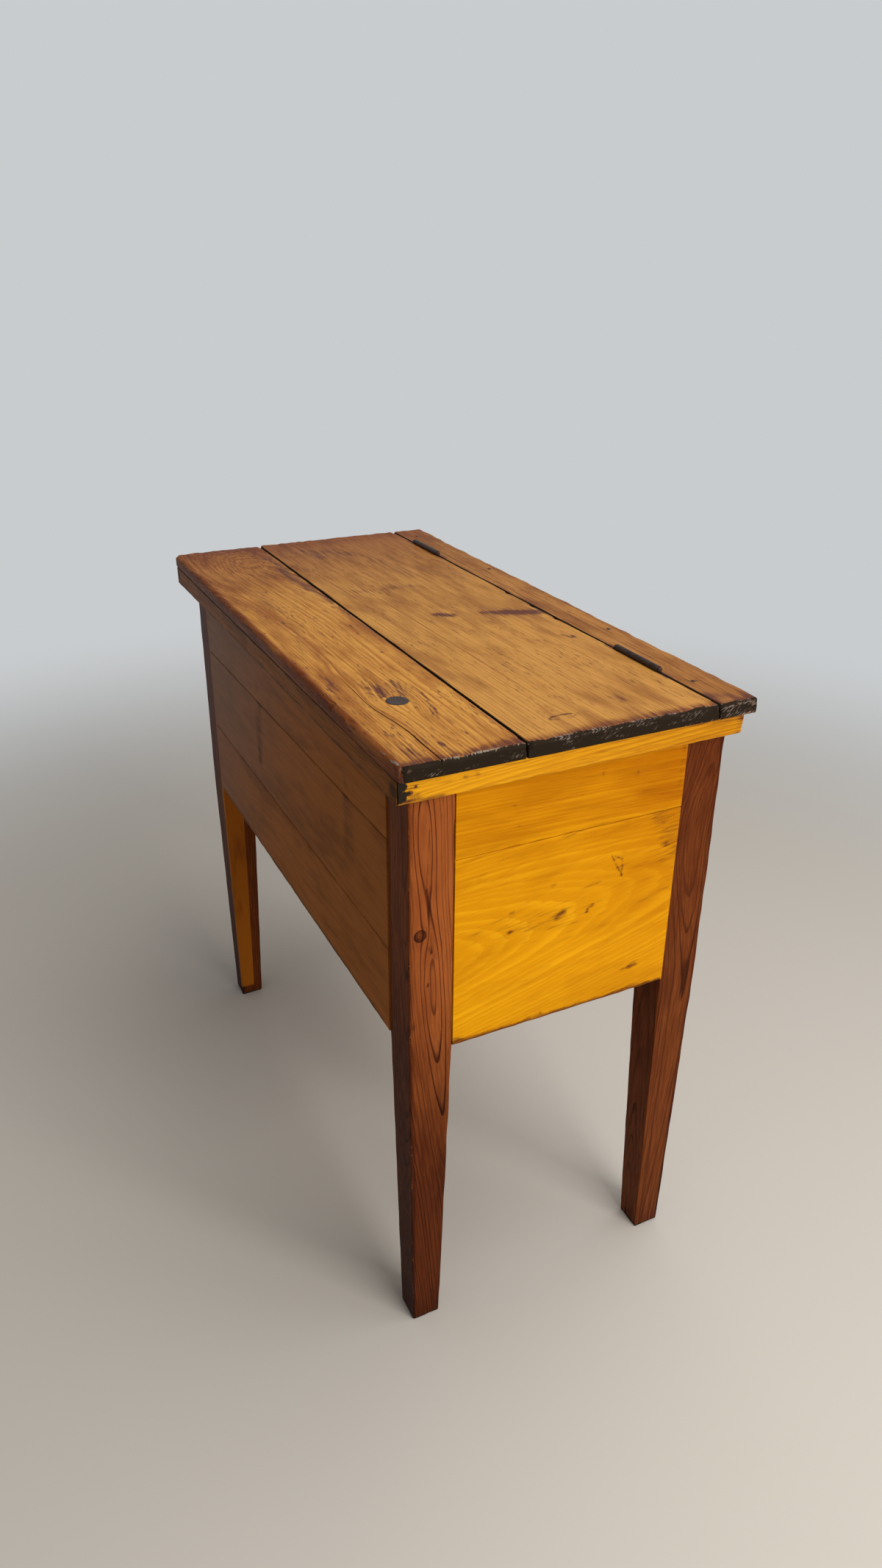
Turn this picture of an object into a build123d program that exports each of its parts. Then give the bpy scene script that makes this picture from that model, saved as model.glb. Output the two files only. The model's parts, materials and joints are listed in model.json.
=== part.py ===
"""An antique dough box: a board chest housed in four tapered legs, with a hinged lid of two planks.

All sizes are millimetres. X runs along the box, Y from the front (-) to the back (+) and Z up. The origin
lies on the floor, under the middle of the lid. Left and right are as seen from the front.
"""
from build123d import *
import os

# Box, over the outer faces of the legs
BOX_LENGTH = 732
BOX_DEPTH = 358
BOX_TOP = 724               # floor to the top edge of the legs and boards
BOX_BOTTOM = 398            # floor to the lower edge of the boards

# Legs: square within the box, tapering below it, mostly on their inner faces
LEG_SIZE = 48
FOOT_SIZE = 33
FOOT_SET_IN = 5             # how far the taper moves the outer faces in at the floor
FOOT_CHAMFER = 2
LEG_ARRIS = 1.5             # worn outer corner

# Boards, which end in bare-faced tongues housed in grooves in the legs
BOARD_THICKNESS = 18
BOARD_PROUD = 1.5           # face of a board in front of the face of the leg
TONGUE_THICKNESS = 9
TONGUE_LENGTH = 10
HOUSING_CLEARANCE = 0.2
BOARD_GAP = 0.6             # shrinkage between neighbouring boards
BOARD_ARRIS = 1

# Widths of the boards, from the bottom up; the top board takes what is left
FRONT_BOTTOM_WIDTH = 103
FRONT_MIDDLE_WIDTH_LEFT = 114
FRONT_MIDDLE_WIDTH_RIGHT = 126
BACK_BOTTOM_WIDTH = 112
BACK_MIDDLE_WIDTH = 108
END_BOTTOM_WIDTH = 219

# Floor of the box
BEARER_SIZE = 20
BEARER_ARRIS = 2
FLOOR_THICKNESS = 13
FLOOR_PLANKS = 3
FLOOR_CLEARANCE = 1

# Moulding under the lid: a front rail mitred to two end cleats
RAIL_HEIGHT = 24
RAIL_THICKNESS = 19.5
CLEAT_THICKNESS = 21.5
MITRE_GAP = 0.8
CLEAT_FALL = 3              # top of a cleat falls away under the back strip
RAIL_ARRIS = 1.5

# Lid: two moving planks and a fixed back strip, in one plane
LID_THICKNESS = 16
LID_OVER_RAIL = 1
LID_OVER_CLEAT = 8
LID_OVER_BACK = 10
LID_REST_GAP = 0.3          # lid at rest over the rail, the cleats and the boards
FRONT_PLANK_WIDTH = 125.5
PLANK_GAP = 1.5
BACK_STRIP_WIDTH = 47
HINGE_GAP = 1.6             # lid to back strip
FRONT_PLANK_SHORT = 3       # the front plank's left end stops short of the wide plank's
NOSE_RADIUS = 6
UNDER_BEVEL = 2
CORNER_RADIUS = 9
END_ARRIS = 3.5
PLANK_ARRIS = 1

# Round wooden plug let into the front plank
PLUG_DIAMETER = 23
PLUG_DEPTH = 9
PLUG_X = 253.5
PLUG_FROM_FRONT = 62

# Battens nailed across the underside of the lid
BATTEN_WIDTH = 45
BATTEN_THICKNESS = 16
BATTEN_FROM_END = 165       # lid end to the batten's middle
BATTEN_CLEARANCE = 8        # batten's ends to the front boards and to the lid's back edge
BATTEN_CHAMFER = 6

# Butt hinges let into the joint between the lid and the back strip
HINGE_LENGTH = 76
HINGE_FROM_LEFT_END = 124   # lid end to the hinge's middle
HINGE_FROM_RIGHT_END = 140
BARREL_DIAMETER = 7
BARREL_RISE = 2.5           # barrel's axis over the lid's top face
KNUCKLES = 3
KNUCKLE_GAP = 0.3
LEAF_THICKNESS = 1.6
LEAF_GAP = 0.4
LEAF_DROP = 14              # axis to the leaf's lower edge
PIN_DIAMETER = 3.4
PIN_CLEARANCE = 0.05        # radial
PIN_BUTTON_DIAMETER = 5
PIN_BUTTON_LENGTH = 4
RECESS_CLEARANCE = 0.3

# Fasteners
NAIL_HEAD_LENGTH = 4.6
NAIL_HEAD_WIDTH = 3.2
NAIL_HEAD_HEIGHT = 1
NAIL_SHANK = 2.4
NAIL_POINT = 1.1
SCREW_HEAD_DIAMETER = 6
SCREW_SHANK_DIAMETER = 3
SCREW_FLATS = 10
STRIP_NAIL_LENGTH = 38
RAIL_NAIL_LENGTH = 32
FLOOR_NAIL_LENGTH = 26
BEARER_NAIL_LENGTH = 30
HINGE_SCREW_LENGTH = 13
BATTEN_NAIL_LENGTH = 27

# Places worked out from the sizes above
lid_length = BOX_LENGTH + 2 * (BOARD_PROUD + CLEAT_THICKNESS + LID_OVER_CLEAT)
front_overhang = BOARD_PROUD + RAIL_THICKNESS + LID_OVER_RAIL
lid_depth = BOX_DEPTH + front_overhang + LID_OVER_BACK
lid_end = lid_length / 2
lid_front = -lid_depth / 2
lid_back = lid_depth / 2
lid_under = BOX_TOP + LID_REST_GAP
lid_top = lid_under + LID_THICKNESS

leg_end = BOX_LENGTH / 2
leg_front = lid_front + front_overhang
leg_back = lid_back - LID_OVER_BACK
box_middle = (leg_front + leg_back) / 2
leg_inner_end = leg_end - LEG_SIZE
leg_inner_front = leg_front + LEG_SIZE
leg_inner_back = leg_back - LEG_SIZE

board_end = leg_end + BOARD_PROUD
board_front = leg_front - BOARD_PROUD
board_back = leg_back + BOARD_PROUD
inside_end = board_end - BOARD_THICKNESS
inside_front = board_front + BOARD_THICKNESS
inside_back = board_back - BOARD_THICKNESS

cleat_end = board_end + CLEAT_THICKNESS
rail_front = board_front - RAIL_THICKNESS
rail_bottom = BOX_TOP - RAIL_HEIGHT
floor_bottom = BOX_BOTTOM + BEARER_SIZE
floor_top = floor_bottom + FLOOR_THICKNESS

strip_front = lid_back - BACK_STRIP_WIDTH
hinge_y = strip_front - HINGE_GAP / 2
hinge_z = lid_top + BARREL_RISE
wide_back = strip_front - HINGE_GAP
front_plank_back = lid_front + FRONT_PLANK_WIDTH
wide_front = front_plank_back + PLANK_GAP
hinge_places = {"left": -lid_end + HINGE_FROM_LEFT_END, "right": lid_end - HINGE_FROM_RIGHT_END}
batten_places = {"left": -lid_end + BATTEN_FROM_END, "right": lid_end - BATTEN_FROM_END}

parts = {}


def block(low, high):
    """A rectangular solid between two opposite corners."""
    size = [b - a for a, b in zip(low, high)]
    middle = [(a + b) / 2 for a, b in zip(low, high)]
    return Pos(*middle) * Box(*size)


def prism(plane, points, height):
    """A straight-edged outline drawn on a plane and extruded along the plane's normal."""
    return extrude(plane * make_face(Polyline(*points, close=True)), height)


def edges_along(solid, axis, **places):
    """The solid's edges parallel to an axis, at each of the places given as X=, Y= or Z=."""
    found = solid.edges().filter_by(axis)
    for name, value in places.items():
        found = found.filter_by(lambda edge: abs(getattr(edge.center(), name) - value) < 0.01)
    return found


# %% Fasteners


def cut_nail(length):
    """A cut nail along -Z, with the top of its flat head at the origin."""
    head = Pos(0, 0, -NAIL_HEAD_HEIGHT / 2) * Box(NAIL_HEAD_LENGTH, NAIL_HEAD_WIDTH, NAIL_HEAD_HEIGHT)
    sections = [
        Pos(0, 0, -NAIL_HEAD_HEIGHT) * Rectangle(NAIL_SHANK, NAIL_SHANK),
        Pos(0, 0, -length) * Rectangle(NAIL_POINT, NAIL_SHANK),
    ]
    return head + loft(sections)


def wood_screw(length):
    """A countersunk screw along -Z, with the top of its head at the origin; so small a part has flats."""
    head = RegularPolygon(SCREW_HEAD_DIAMETER / 2, SCREW_FLATS)
    shank = RegularPolygon(SCREW_SHANK_DIAMETER / 2, SCREW_FLATS)
    neck = (SCREW_SHANK_DIAMETER - SCREW_HEAD_DIAMETER) / 2
    return loft([head, Pos(0, 0, neck) * shank]) + extrude(Pos(0, 0, neck) * shank, -length - neck)


def spread(low, high, count):
    """Evenly spaced places from low to high."""
    return [low + (high - low) * i / (count - 1) for i in range(count)]


into_front = Rot(X=90)      # turns a fastener that points down so that it points to the back
into_back = Rot(X=-90)      # and so that it points to the front
into_right_end = Rot(Y=90)  # and so that it points to the left
into_left_end = Rot(Y=-90)  # and so that it points to the right
into_under = Rot(X=180)     # and so that it points up

rail_middle = BOX_TOP - RAIL_HEIGHT / 2
rail_nail_xs = spread(-leg_end + LEG_SIZE / 2, leg_end - LEG_SIZE / 2, 5)
rail_nails = [Pos(x, rail_front, rail_middle) * into_front * cut_nail(RAIL_NAIL_LENGTH) for x in rail_nail_xs]

cleat_nail_ys = spread(leg_front + LEG_SIZE / 4, leg_back - LEG_SIZE / 2, 4)
cleat_nails = []
for y in cleat_nail_ys:
    cleat_nails.append(Pos(cleat_end, y, rail_middle) * into_right_end * cut_nail(RAIL_NAIL_LENGTH))
    cleat_nails.append(Pos(-cleat_end, y, rail_middle) * into_left_end * cut_nail(RAIL_NAIL_LENGTH))

# The strip's nails were driven by eye: one into the top of each back leg and two into the back boards
strip_top = BOX_TOP + LID_THICKNESS
strip_nail_places = [
    (-leg_end + LEG_SIZE / 4, leg_back - LEG_SIZE / 3),
    (-leg_inner_end * 0.44, board_back - BOARD_THICKNESS / 3),
    (leg_inner_end * 0.48, board_back - BOARD_THICKNESS / 3),
    (leg_end - LEG_SIZE * 0.7, leg_back - LEG_SIZE * 0.45),
]
strip_nails = [Pos(x, y, strip_top) * cut_nail(STRIP_NAIL_LENGTH) for x, y in strip_nail_places]

floor_joints = spread(inside_front, inside_back, FLOOR_PLANKS + 1)
over_end_bearer = [
    (max(low, leg_inner_front), min(high, leg_inner_back))
    for low, high in zip(floor_joints, floor_joints[1:])
]
bearer_middle = BOX_BOTTOM + BEARER_SIZE / 2
bearer_nails = []
for x in spread(-leg_inner_end + BEARER_SIZE, leg_inner_end - BEARER_SIZE, 4):
    front_head = Pos(x, inside_front + BEARER_SIZE, bearer_middle)
    back_head = Pos(x, inside_back - BEARER_SIZE, bearer_middle)
    bearer_nails.append(front_head * into_back * cut_nail(BEARER_NAIL_LENGTH))
    bearer_nails.append(back_head * into_front * cut_nail(BEARER_NAIL_LENGTH))
for first, last in over_end_bearer:
    right_head = Pos(inside_end - BEARER_SIZE, (first + last) / 2, bearer_middle)
    left_head = Pos(-inside_end + BEARER_SIZE, (first + last) / 2, bearer_middle)
    bearer_nails.append(right_head * into_left_end * cut_nail(BEARER_NAIL_LENGTH))
    bearer_nails.append(left_head * into_right_end * cut_nail(BEARER_NAIL_LENGTH))

floor_nails = []
for first, last in over_end_bearer:
    quarter = (last - first) / 4
    for y in (first + quarter, last - quarter):
        for side in (-1, 1):
            head = Pos(side * (inside_end - BEARER_SIZE / 2), y, floor_top)
            floor_nails.append(head * cut_nail(FLOOR_NAIL_LENGTH))

hinge_screws_lid = []
hinge_screws_strip = []
screw_z = hinge_z - (BARREL_DIAMETER / 2 + LEAF_DROP) / 2
leaf_inner = LEAF_GAP / 2
for middle in hinge_places.values():
    for x in spread(middle - HINGE_LENGTH / 3, middle + HINGE_LENGTH / 3, 3):
        lid_head = Pos(x, hinge_y - leaf_inner, screw_z)
        strip_head = Pos(x, hinge_y + leaf_inner, screw_z)
        hinge_screws_lid.append(lid_head * into_back * wood_screw(HINGE_SCREW_LENGTH))
        hinge_screws_strip.append(strip_head * into_front * wood_screw(HINGE_SCREW_LENGTH))

batten_front = inside_front + BATTEN_CLEARANCE
batten_back = wide_back - BATTEN_CLEARANCE
batten_bottom = lid_under - BATTEN_THICKNESS
batten_nail_ys = spread(batten_front + BATTEN_WIDTH / 2, front_plank_back - BATTEN_WIDTH / 2, 2)
batten_nail_ys += spread(wide_front + BATTEN_WIDTH / 2, batten_back - BATTEN_WIDTH / 2, 3)
batten_nails = [
    Pos(x, y, batten_bottom) * into_under * cut_nail(BATTEN_NAIL_LENGTH)
    for x in batten_places.values()
    for y in batten_nail_ys
]


# %% Legs


def leg_front_left():
    """The front left leg; the other three are its mirror images."""
    post = block((-leg_end, leg_front, BOX_BOTTOM), (-leg_inner_end, leg_inner_front, BOX_TOP))
    foot = block(
        (-leg_end + FOOT_SET_IN, leg_front + FOOT_SET_IN, 0),
        (-leg_end + FOOT_SET_IN + FOOT_SIZE, leg_front + FOOT_SET_IN + FOOT_SIZE, 1),
    )
    taper = loft([foot.faces().sort_by(Axis.Z)[0], post.faces().sort_by(Axis.Z)[0]])
    taper = chamfer(taper.faces().sort_by(Axis.Z)[0].edges(), FOOT_CHAMFER)
    outer_corner = edges_along(post, Axis.Z, X=-leg_end, Y=leg_front)
    leg = chamfer(outer_corner, LEG_ARRIS) + taper

    tongue_outer = BOARD_THICKNESS - BOARD_PROUD - TONGUE_THICKNESS - HOUSING_CLEARANCE
    tongue_inner = BOARD_THICKNESS - BOARD_PROUD + HOUSING_CLEARANCE
    groove = TONGUE_LENGTH + HOUSING_CLEARANCE
    leg -= block(
        (-leg_inner_end - groove, leg_front + tongue_outer, BOX_BOTTOM),
        (-leg_inner_end, leg_front + tongue_inner, BOX_TOP),
    )
    leg -= block(
        (-leg_end + tongue_outer, leg_inner_front - groove, BOX_BOTTOM),
        (-leg_end + tongue_inner, leg_inner_front, BOX_TOP),
    )
    return leg


across = Plane.YZ
along = Plane.XZ.offset(-box_middle)
pattern = leg_front_left()
legs = {
    "leg_front_left": pattern,
    "leg_front_right": mirror(pattern, across),
    "leg_back_left": mirror(pattern, along),
    "leg_back_right": mirror(mirror(pattern, across), along),
}
for name, leg in legs.items():
    for nail in rail_nails + cleat_nails + strip_nails:
        leg -= nail
    parts[name] = leg


# %% Boards of the box


def long_board(outer, inward, low, high):
    """A board of the front or back between two edges, each a height at its left and right end.

    outer is the Y of its outer face and inward the direction of its inner face. The outline is a
    four-sided one, so that an edge may rise, and both ends are cut to bare-faced tongues.
    """
    reach = leg_inner_end + TONGUE_LENGTH
    outline = [(-reach, low[0]), (reach, low[1]), (reach, high[1]), (-reach, high[0])]
    board = extrude(Plane.XZ * make_face(Polyline(*outline, close=True)), -inward * BOARD_THICKNESS)
    board = Pos(0, outer, 0) * board
    outer_edges = [edge for edge in board.edges() if abs(edge.center().Y - outer) < 0.01]
    board = chamfer([edge for edge in outer_edges if abs(edge.center().X) < 1], BOARD_ARRIS)
    shoulder = outer + inward * (BOARD_THICKNESS - TONGUE_THICKNESS)
    for side in (-1, 1):
        ends = sorted((side * leg_inner_end, side * reach))
        faces = sorted((outer, shoulder))
        board -= block((ends[0], faces[0], BOX_BOTTOM), (ends[1], faces[1], BOX_TOP))
    return board


def end_board(low, high):
    """A board of the right end between two heights, cut to bare-faced tongues at both ends."""
    board = block(
        (inside_end, leg_inner_front - TONGUE_LENGTH, low),
        (board_end, leg_inner_back + TONGUE_LENGTH, high),
    )
    board = chamfer(edges_along(board, Axis.Y, X=board_end), BOARD_ARRIS)
    shoulder = board_end - BOARD_THICKNESS + TONGUE_THICKNESS
    board -= block((shoulder, leg_inner_front - TONGUE_LENGTH, low), (board_end, leg_inner_front, high))
    board -= block((shoulder, leg_inner_back, low), (board_end, leg_inner_back + TONGUE_LENGTH, high))
    return board


def level(height):
    """An edge that runs level: the same height at its left and right end."""
    return (height, height)


def lifted(edge):
    """The lower edge of the board over an edge, a shrinkage gap above it."""
    return (edge[0] + BOARD_GAP, edge[1] + BOARD_GAP)


front_joint_1 = level(BOX_BOTTOM + FRONT_BOTTOM_WIDTH)
front_joint_2 = (front_joint_1[0] + FRONT_MIDDLE_WIDTH_LEFT, front_joint_1[1] + FRONT_MIDDLE_WIDTH_RIGHT)
back_joint_1 = level(BOX_BOTTOM + BACK_BOTTOM_WIDTH)
back_joint_2 = level(BOX_BOTTOM + BACK_BOTTOM_WIDTH + BACK_MIDDLE_WIDTH)
end_joint = BOX_BOTTOM + END_BOTTOM_WIDTH

boards = {
    "front_board_bottom": long_board(board_front, 1, level(BOX_BOTTOM), front_joint_1),
    "front_board_middle": long_board(board_front, 1, lifted(front_joint_1), front_joint_2),
    "front_board_top": long_board(board_front, 1, lifted(front_joint_2), level(BOX_TOP)),
    "back_board_bottom": long_board(board_back, -1, level(BOX_BOTTOM), back_joint_1),
    "back_board_middle": long_board(board_back, -1, lifted(back_joint_1), back_joint_2),
    "back_board_top": long_board(board_back, -1, lifted(back_joint_2), level(BOX_TOP)),
    "right_end_board_bottom": end_board(BOX_BOTTOM, end_joint),
    "right_end_board_top": end_board(end_joint + BOARD_GAP, BOX_TOP),
}
boards["left_end_board_bottom"] = mirror(boards["right_end_board_bottom"], across)
boards["left_end_board_top"] = mirror(boards["right_end_board_top"], across)
for name, board in boards.items():
    if name.endswith("top"):
        fasteners = rail_nails + cleat_nails + strip_nails
    else:
        fasteners = bearer_nails
    for fastener in fasteners:
        board -= fastener
    parts[name] = board


# %% Floor of the box

bearer_front = block(
    (-leg_inner_end, inside_front, BOX_BOTTOM),
    (leg_inner_end, inside_front + BEARER_SIZE, floor_bottom),
)
bearer_front = chamfer(
    edges_along(bearer_front, Axis.X, Y=inside_front + BEARER_SIZE, Z=BOX_BOTTOM), BEARER_ARRIS
)
bearer_right = block(
    (inside_end - BEARER_SIZE, leg_inner_front, BOX_BOTTOM),
    (inside_end, leg_inner_back, floor_bottom),
)
bearer_right = chamfer(
    edges_along(bearer_right, Axis.Y, X=inside_end - BEARER_SIZE, Z=BOX_BOTTOM), BEARER_ARRIS
)
bearers = {
    "floor_bearer_front": bearer_front,
    "floor_bearer_back": mirror(bearer_front, along),
    "floor_bearer_right": bearer_right,
    "floor_bearer_left": mirror(bearer_right, across),
}
corner_gap = FLOOR_CLEARANCE
notch_end = leg_inner_end - corner_gap
notch_front = leg_inner_front + corner_gap
notch_back = leg_inner_back - corner_gap
floor_end = inside_end - corner_gap
floor_outline = [
    (-notch_end, inside_front + corner_gap),
    (notch_end, inside_front + corner_gap),
    (notch_end, notch_front),
    (floor_end, notch_front),
    (floor_end, notch_back),
    (notch_end, notch_back),
    (notch_end, inside_back - corner_gap),
    (-notch_end, inside_back - corner_gap),
    (-notch_end, notch_back),
    (-floor_end, notch_back),
    (-floor_end, notch_front),
    (-notch_end, notch_front),
]
floor = prism(Plane.XY.offset(floor_bottom), floor_outline, FLOOR_THICKNESS)
for name, bearer in bearers.items():
    for nail in bearer_nails + floor_nails:
        bearer -= nail
    parts[name] = bearer
for number, (low, high) in enumerate(zip(floor_joints, floor_joints[1:]), 1):
    slot = BOARD_GAP / 2
    plank = floor & block((-floor_end, low + slot, floor_bottom), (floor_end, high - slot, floor_top))
    for nail in floor_nails:
        plank -= nail
    parts[f"floor_plank_{number}"] = plank


# %% Front rail and end cleats

mitre = MITRE_GAP / 2
rail_outline = [
    (-cleat_end + mitre, rail_front),
    (cleat_end - mitre, rail_front),
    (board_end - mitre, board_front),
    (-board_end + mitre, board_front),
]
rail = prism(Plane.XY.offset(rail_bottom), rail_outline, RAIL_HEIGHT)
rail = chamfer(edges_along(rail, Axis.X, Y=rail_front, Z=rail_bottom), RAIL_ARRIS)
for nail in rail_nails:
    rail -= nail
parts["front_rail"] = rail

cleat_outline = [
    (cleat_end, rail_front + mitre),
    (cleat_end, leg_back),
    (board_end, leg_back),
    (board_end, board_front + mitre),
]
cleat = prism(Plane.XY.offset(rail_bottom), cleat_outline, RAIL_HEIGHT)
fall = [
    (strip_front, BOX_TOP),
    (leg_back, BOX_TOP - CLEAT_FALL),
    (leg_back, BOX_TOP + 1),
    (strip_front, BOX_TOP + 1),
]
cleat -= prism(Plane.YZ.offset(board_end), fall, CLEAT_THICKNESS)
cleat = chamfer(edges_along(cleat, Axis.Y, X=cleat_end, Z=rail_bottom), RAIL_ARRIS)
cleats = {"right_end_cleat": cleat, "left_end_cleat": mirror(cleat, across)}
for name, cleat in cleats.items():
    for nail in cleat_nails:
        cleat -= nail
    parts[name] = cleat


# %% Lid planks and back strip


def ease_ends(plank, left, right, top, bottom):
    """Round the worn top corners at both ends of a plank and ease the lower ones."""
    for x in (left, right):
        plank = fillet(edges_along(plank, Axis.Y, X=x, Z=top), END_ARRIS)
        plank = chamfer(edges_along(plank, Axis.Y, X=x, Z=bottom), PLANK_ARRIS)
    return plank


front_left = -lid_end + FRONT_PLANK_SHORT
front_plank = block((front_left, lid_front, lid_under), (lid_end, front_plank_back, lid_top))
for x in (front_left, lid_end):
    front_plank = fillet(edges_along(front_plank, Axis.Z, X=x, Y=lid_front), CORNER_RADIUS)
nose = front_plank.faces().sort_by(Axis.Z)[-1].edges()
joint_edge = nose.sort_by(Axis.Y)[-1]
front_plank = fillet([edge for edge in nose if edge != joint_edge], NOSE_RADIUS)
sole = front_plank.faces().sort_by(Axis.Z)[0].edges()
joint_edge = sole.sort_by(Axis.Y)[-1]
front_plank = chamfer([edge for edge in sole if edge != joint_edge], UNDER_BEVEL)
plug_place = Pos(PLUG_X, lid_front + PLUG_FROM_FRONT, lid_top - PLUG_DEPTH / 2)
plug = plug_place * Cylinder(PLUG_DIAMETER / 2, PLUG_DEPTH)
front_plank -= plug

wide_plank = block((-lid_end, wide_front, lid_under), (lid_end, wide_back, lid_top))
wide_plank = chamfer(edges_along(wide_plank, Axis.X, Y=wide_front, Z=lid_top), PLANK_ARRIS)
wide_plank = ease_ends(wide_plank, -lid_end, lid_end, lid_top, lid_under)

strip = block((-lid_end, strip_front, BOX_TOP), (lid_end, lid_back, strip_top))
for x in (-lid_end, lid_end):
    strip = fillet(edges_along(strip, Axis.Z, X=x, Y=lid_back), CORNER_RADIUS / 2)
crown = [edge for edge in strip.faces().sort_by(Axis.Z)[-1].edges() if edge.center().Y > strip_front + 1]
strip = fillet(crown, END_ARRIS)

recess_radius = BARREL_DIAMETER / 2 + RECESS_CLEARANCE
recess_length = HINGE_LENGTH + 2 * (PIN_BUTTON_LENGTH + RECESS_CLEARANCE)
for middle in hinge_places.values():
    recess = Pos(middle, hinge_y, hinge_z) * Rot(Y=90) * Cylinder(recess_radius, recess_length)
    wide_plank -= recess
    strip -= recess
    seat = leaf_inner + LEAF_THICKNESS
    gain = block(
        (middle - HINGE_LENGTH / 2, hinge_y - seat, hinge_z - LEAF_DROP),
        (middle + HINGE_LENGTH / 2, hinge_y + seat, hinge_z),
    )
    wide_plank -= gain
    strip -= gain

for fastener in hinge_screws_lid + batten_nails:
    wide_plank -= fastener
for nail in batten_nails:
    front_plank -= nail
for fastener in hinge_screws_strip + strip_nails:
    strip -= fastener
parts["lid_front_plank"] = front_plank
parts["lid_wide_plank"] = wide_plank
parts["back_strip"] = strip
parts["lid_plug"] = plug

for side, middle in batten_places.items():
    half = BATTEN_WIDTH / 2
    outline = [
        (batten_front, lid_under),
        (batten_front, lid_under - BATTEN_THICKNESS + BATTEN_CHAMFER),
        (batten_front + BATTEN_CHAMFER, batten_bottom),
        (batten_back - BATTEN_CHAMFER, batten_bottom),
        (batten_back, batten_bottom + BATTEN_CHAMFER),
        (batten_back, lid_under),
    ]
    batten = prism(Plane.YZ.offset(middle - half), outline, BATTEN_WIDTH)
    for nail in batten_nails:
        batten -= nail
    parts[f"lid_batten_{side}"] = batten


# %% Hinges


def hinge_leaf(side, owned):
    """One leaf about an axis along X through the origin, hanging down; side is +1 at the strip.

    owned numbers the knuckles of the barrel that this leaf carries, from the left end.
    """
    near = side * leaf_inner
    far = side * (leaf_inner + LEAF_THICKNESS)
    faces = sorted((near, far))
    clear = BARREL_DIAMETER / 2 + RECESS_CLEARANCE
    half = HINGE_LENGTH / 2
    leaf = block((-half, faces[0], -LEAF_DROP), (half, faces[1], -clear))
    pitch = HINGE_LENGTH / KNUCKLES
    for number in owned:
        left = -half + number * pitch + KNUCKLE_GAP / 2
        right = left + pitch - KNUCKLE_GAP
        middle = (left + right) / 2
        leaf += block((left, faces[0], -clear), (right, faces[1], 0))
        leaf += Pos(middle, 0, 0) * Rot(Y=90) * Cylinder(BARREL_DIAMETER / 2, right - left)
    bore = PIN_DIAMETER / 2 + PIN_CLEARANCE
    return leaf - Rot(Y=90) * Cylinder(bore, HINGE_LENGTH + 1)


def hinge_pin():
    """The pin along X through the origin, with a rounded button at each end."""
    pin = Rot(Y=90) * Cylinder(PIN_DIAMETER / 2, HINGE_LENGTH)
    button = Cylinder(PIN_BUTTON_DIAMETER / 2, PIN_BUTTON_LENGTH)
    button = chamfer(button.edges().sort_by(Axis.Z)[-1], PIN_BUTTON_LENGTH / 4)
    for side in (-1, 1):
        reach = (HINGE_LENGTH + PIN_BUTTON_LENGTH) / 2
        pin += Pos(side * reach, 0, 0) * Rot(Y=side * 90) * button
    return pin


for side, middle in hinge_places.items():
    place = Pos(middle, hinge_y, hinge_z)
    strip_leaf = place * hinge_leaf(1, range(0, KNUCKLES, 2))
    lid_leaf = place * hinge_leaf(-1, range(1, KNUCKLES, 2))
    for screw in hinge_screws_strip:
        strip_leaf -= screw
    for screw in hinge_screws_lid:
        lid_leaf -= screw
    parts[f"hinge_{side}_strip_leaf"] = strip_leaf
    parts[f"hinge_{side}_lid_leaf"] = lid_leaf
    parts[f"hinge_{side}_pin"] = place * hinge_pin()

parts["hinge_screws_strip"] = Compound(children=hinge_screws_strip)
parts["hinge_screws_lid"] = Compound(children=hinge_screws_lid)
parts["batten_nails"] = Compound(children=batten_nails)
parts["strip_nails"] = Compound(children=strip_nails)
parts["rail_nails"] = Compound(children=rail_nails)
parts["cleat_nails"] = Compound(children=cleat_nails)
parts["bearer_nails"] = Compound(children=bearer_nails)
parts["floor_nails"] = Compound(children=floor_nails)

os.makedirs("parts", exist_ok=True)
for name, part in parts.items():
    export_step(part, f"parts/{name}.step")
print(len(parts), "pieces written")
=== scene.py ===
# %% [markdown]
# # An antique dough box
#
# A dough box is a chest of pine boards held between four tapered legs. Bread dough was kneaded on its
# lid and left to rise inside. This lesson dresses a imported CAD model of one: the hinges, nails and
# inner boards stay as they are and get better materials, and each board and leg that shows is made
# anew, with worn edges, cracks and knots, in exactly the place where the CAD model has it.
#
# The model loads as a fixed frame: one object for each CAD piece. The pieces made here ride on two bodies,
# the box and the lid.

# %% Load the frame
import json
import math
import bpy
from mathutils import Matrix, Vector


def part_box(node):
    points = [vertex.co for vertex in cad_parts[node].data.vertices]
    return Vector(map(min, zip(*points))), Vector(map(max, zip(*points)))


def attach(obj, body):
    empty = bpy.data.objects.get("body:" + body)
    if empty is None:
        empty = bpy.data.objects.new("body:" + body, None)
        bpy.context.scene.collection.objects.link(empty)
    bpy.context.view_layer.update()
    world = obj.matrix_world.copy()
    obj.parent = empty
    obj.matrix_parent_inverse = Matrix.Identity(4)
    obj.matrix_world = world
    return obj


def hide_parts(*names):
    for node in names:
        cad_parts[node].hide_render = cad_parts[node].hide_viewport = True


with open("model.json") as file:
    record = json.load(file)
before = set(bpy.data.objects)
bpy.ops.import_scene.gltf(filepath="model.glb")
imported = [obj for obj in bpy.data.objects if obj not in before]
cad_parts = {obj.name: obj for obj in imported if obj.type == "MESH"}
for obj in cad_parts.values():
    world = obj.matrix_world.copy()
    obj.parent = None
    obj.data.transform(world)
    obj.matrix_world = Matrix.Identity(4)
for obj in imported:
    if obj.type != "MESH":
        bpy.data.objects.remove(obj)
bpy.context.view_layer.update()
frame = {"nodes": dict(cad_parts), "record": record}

from types import SimpleNamespace

import bpy
import numpy as np
from mathutils import Matrix, Vector

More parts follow.
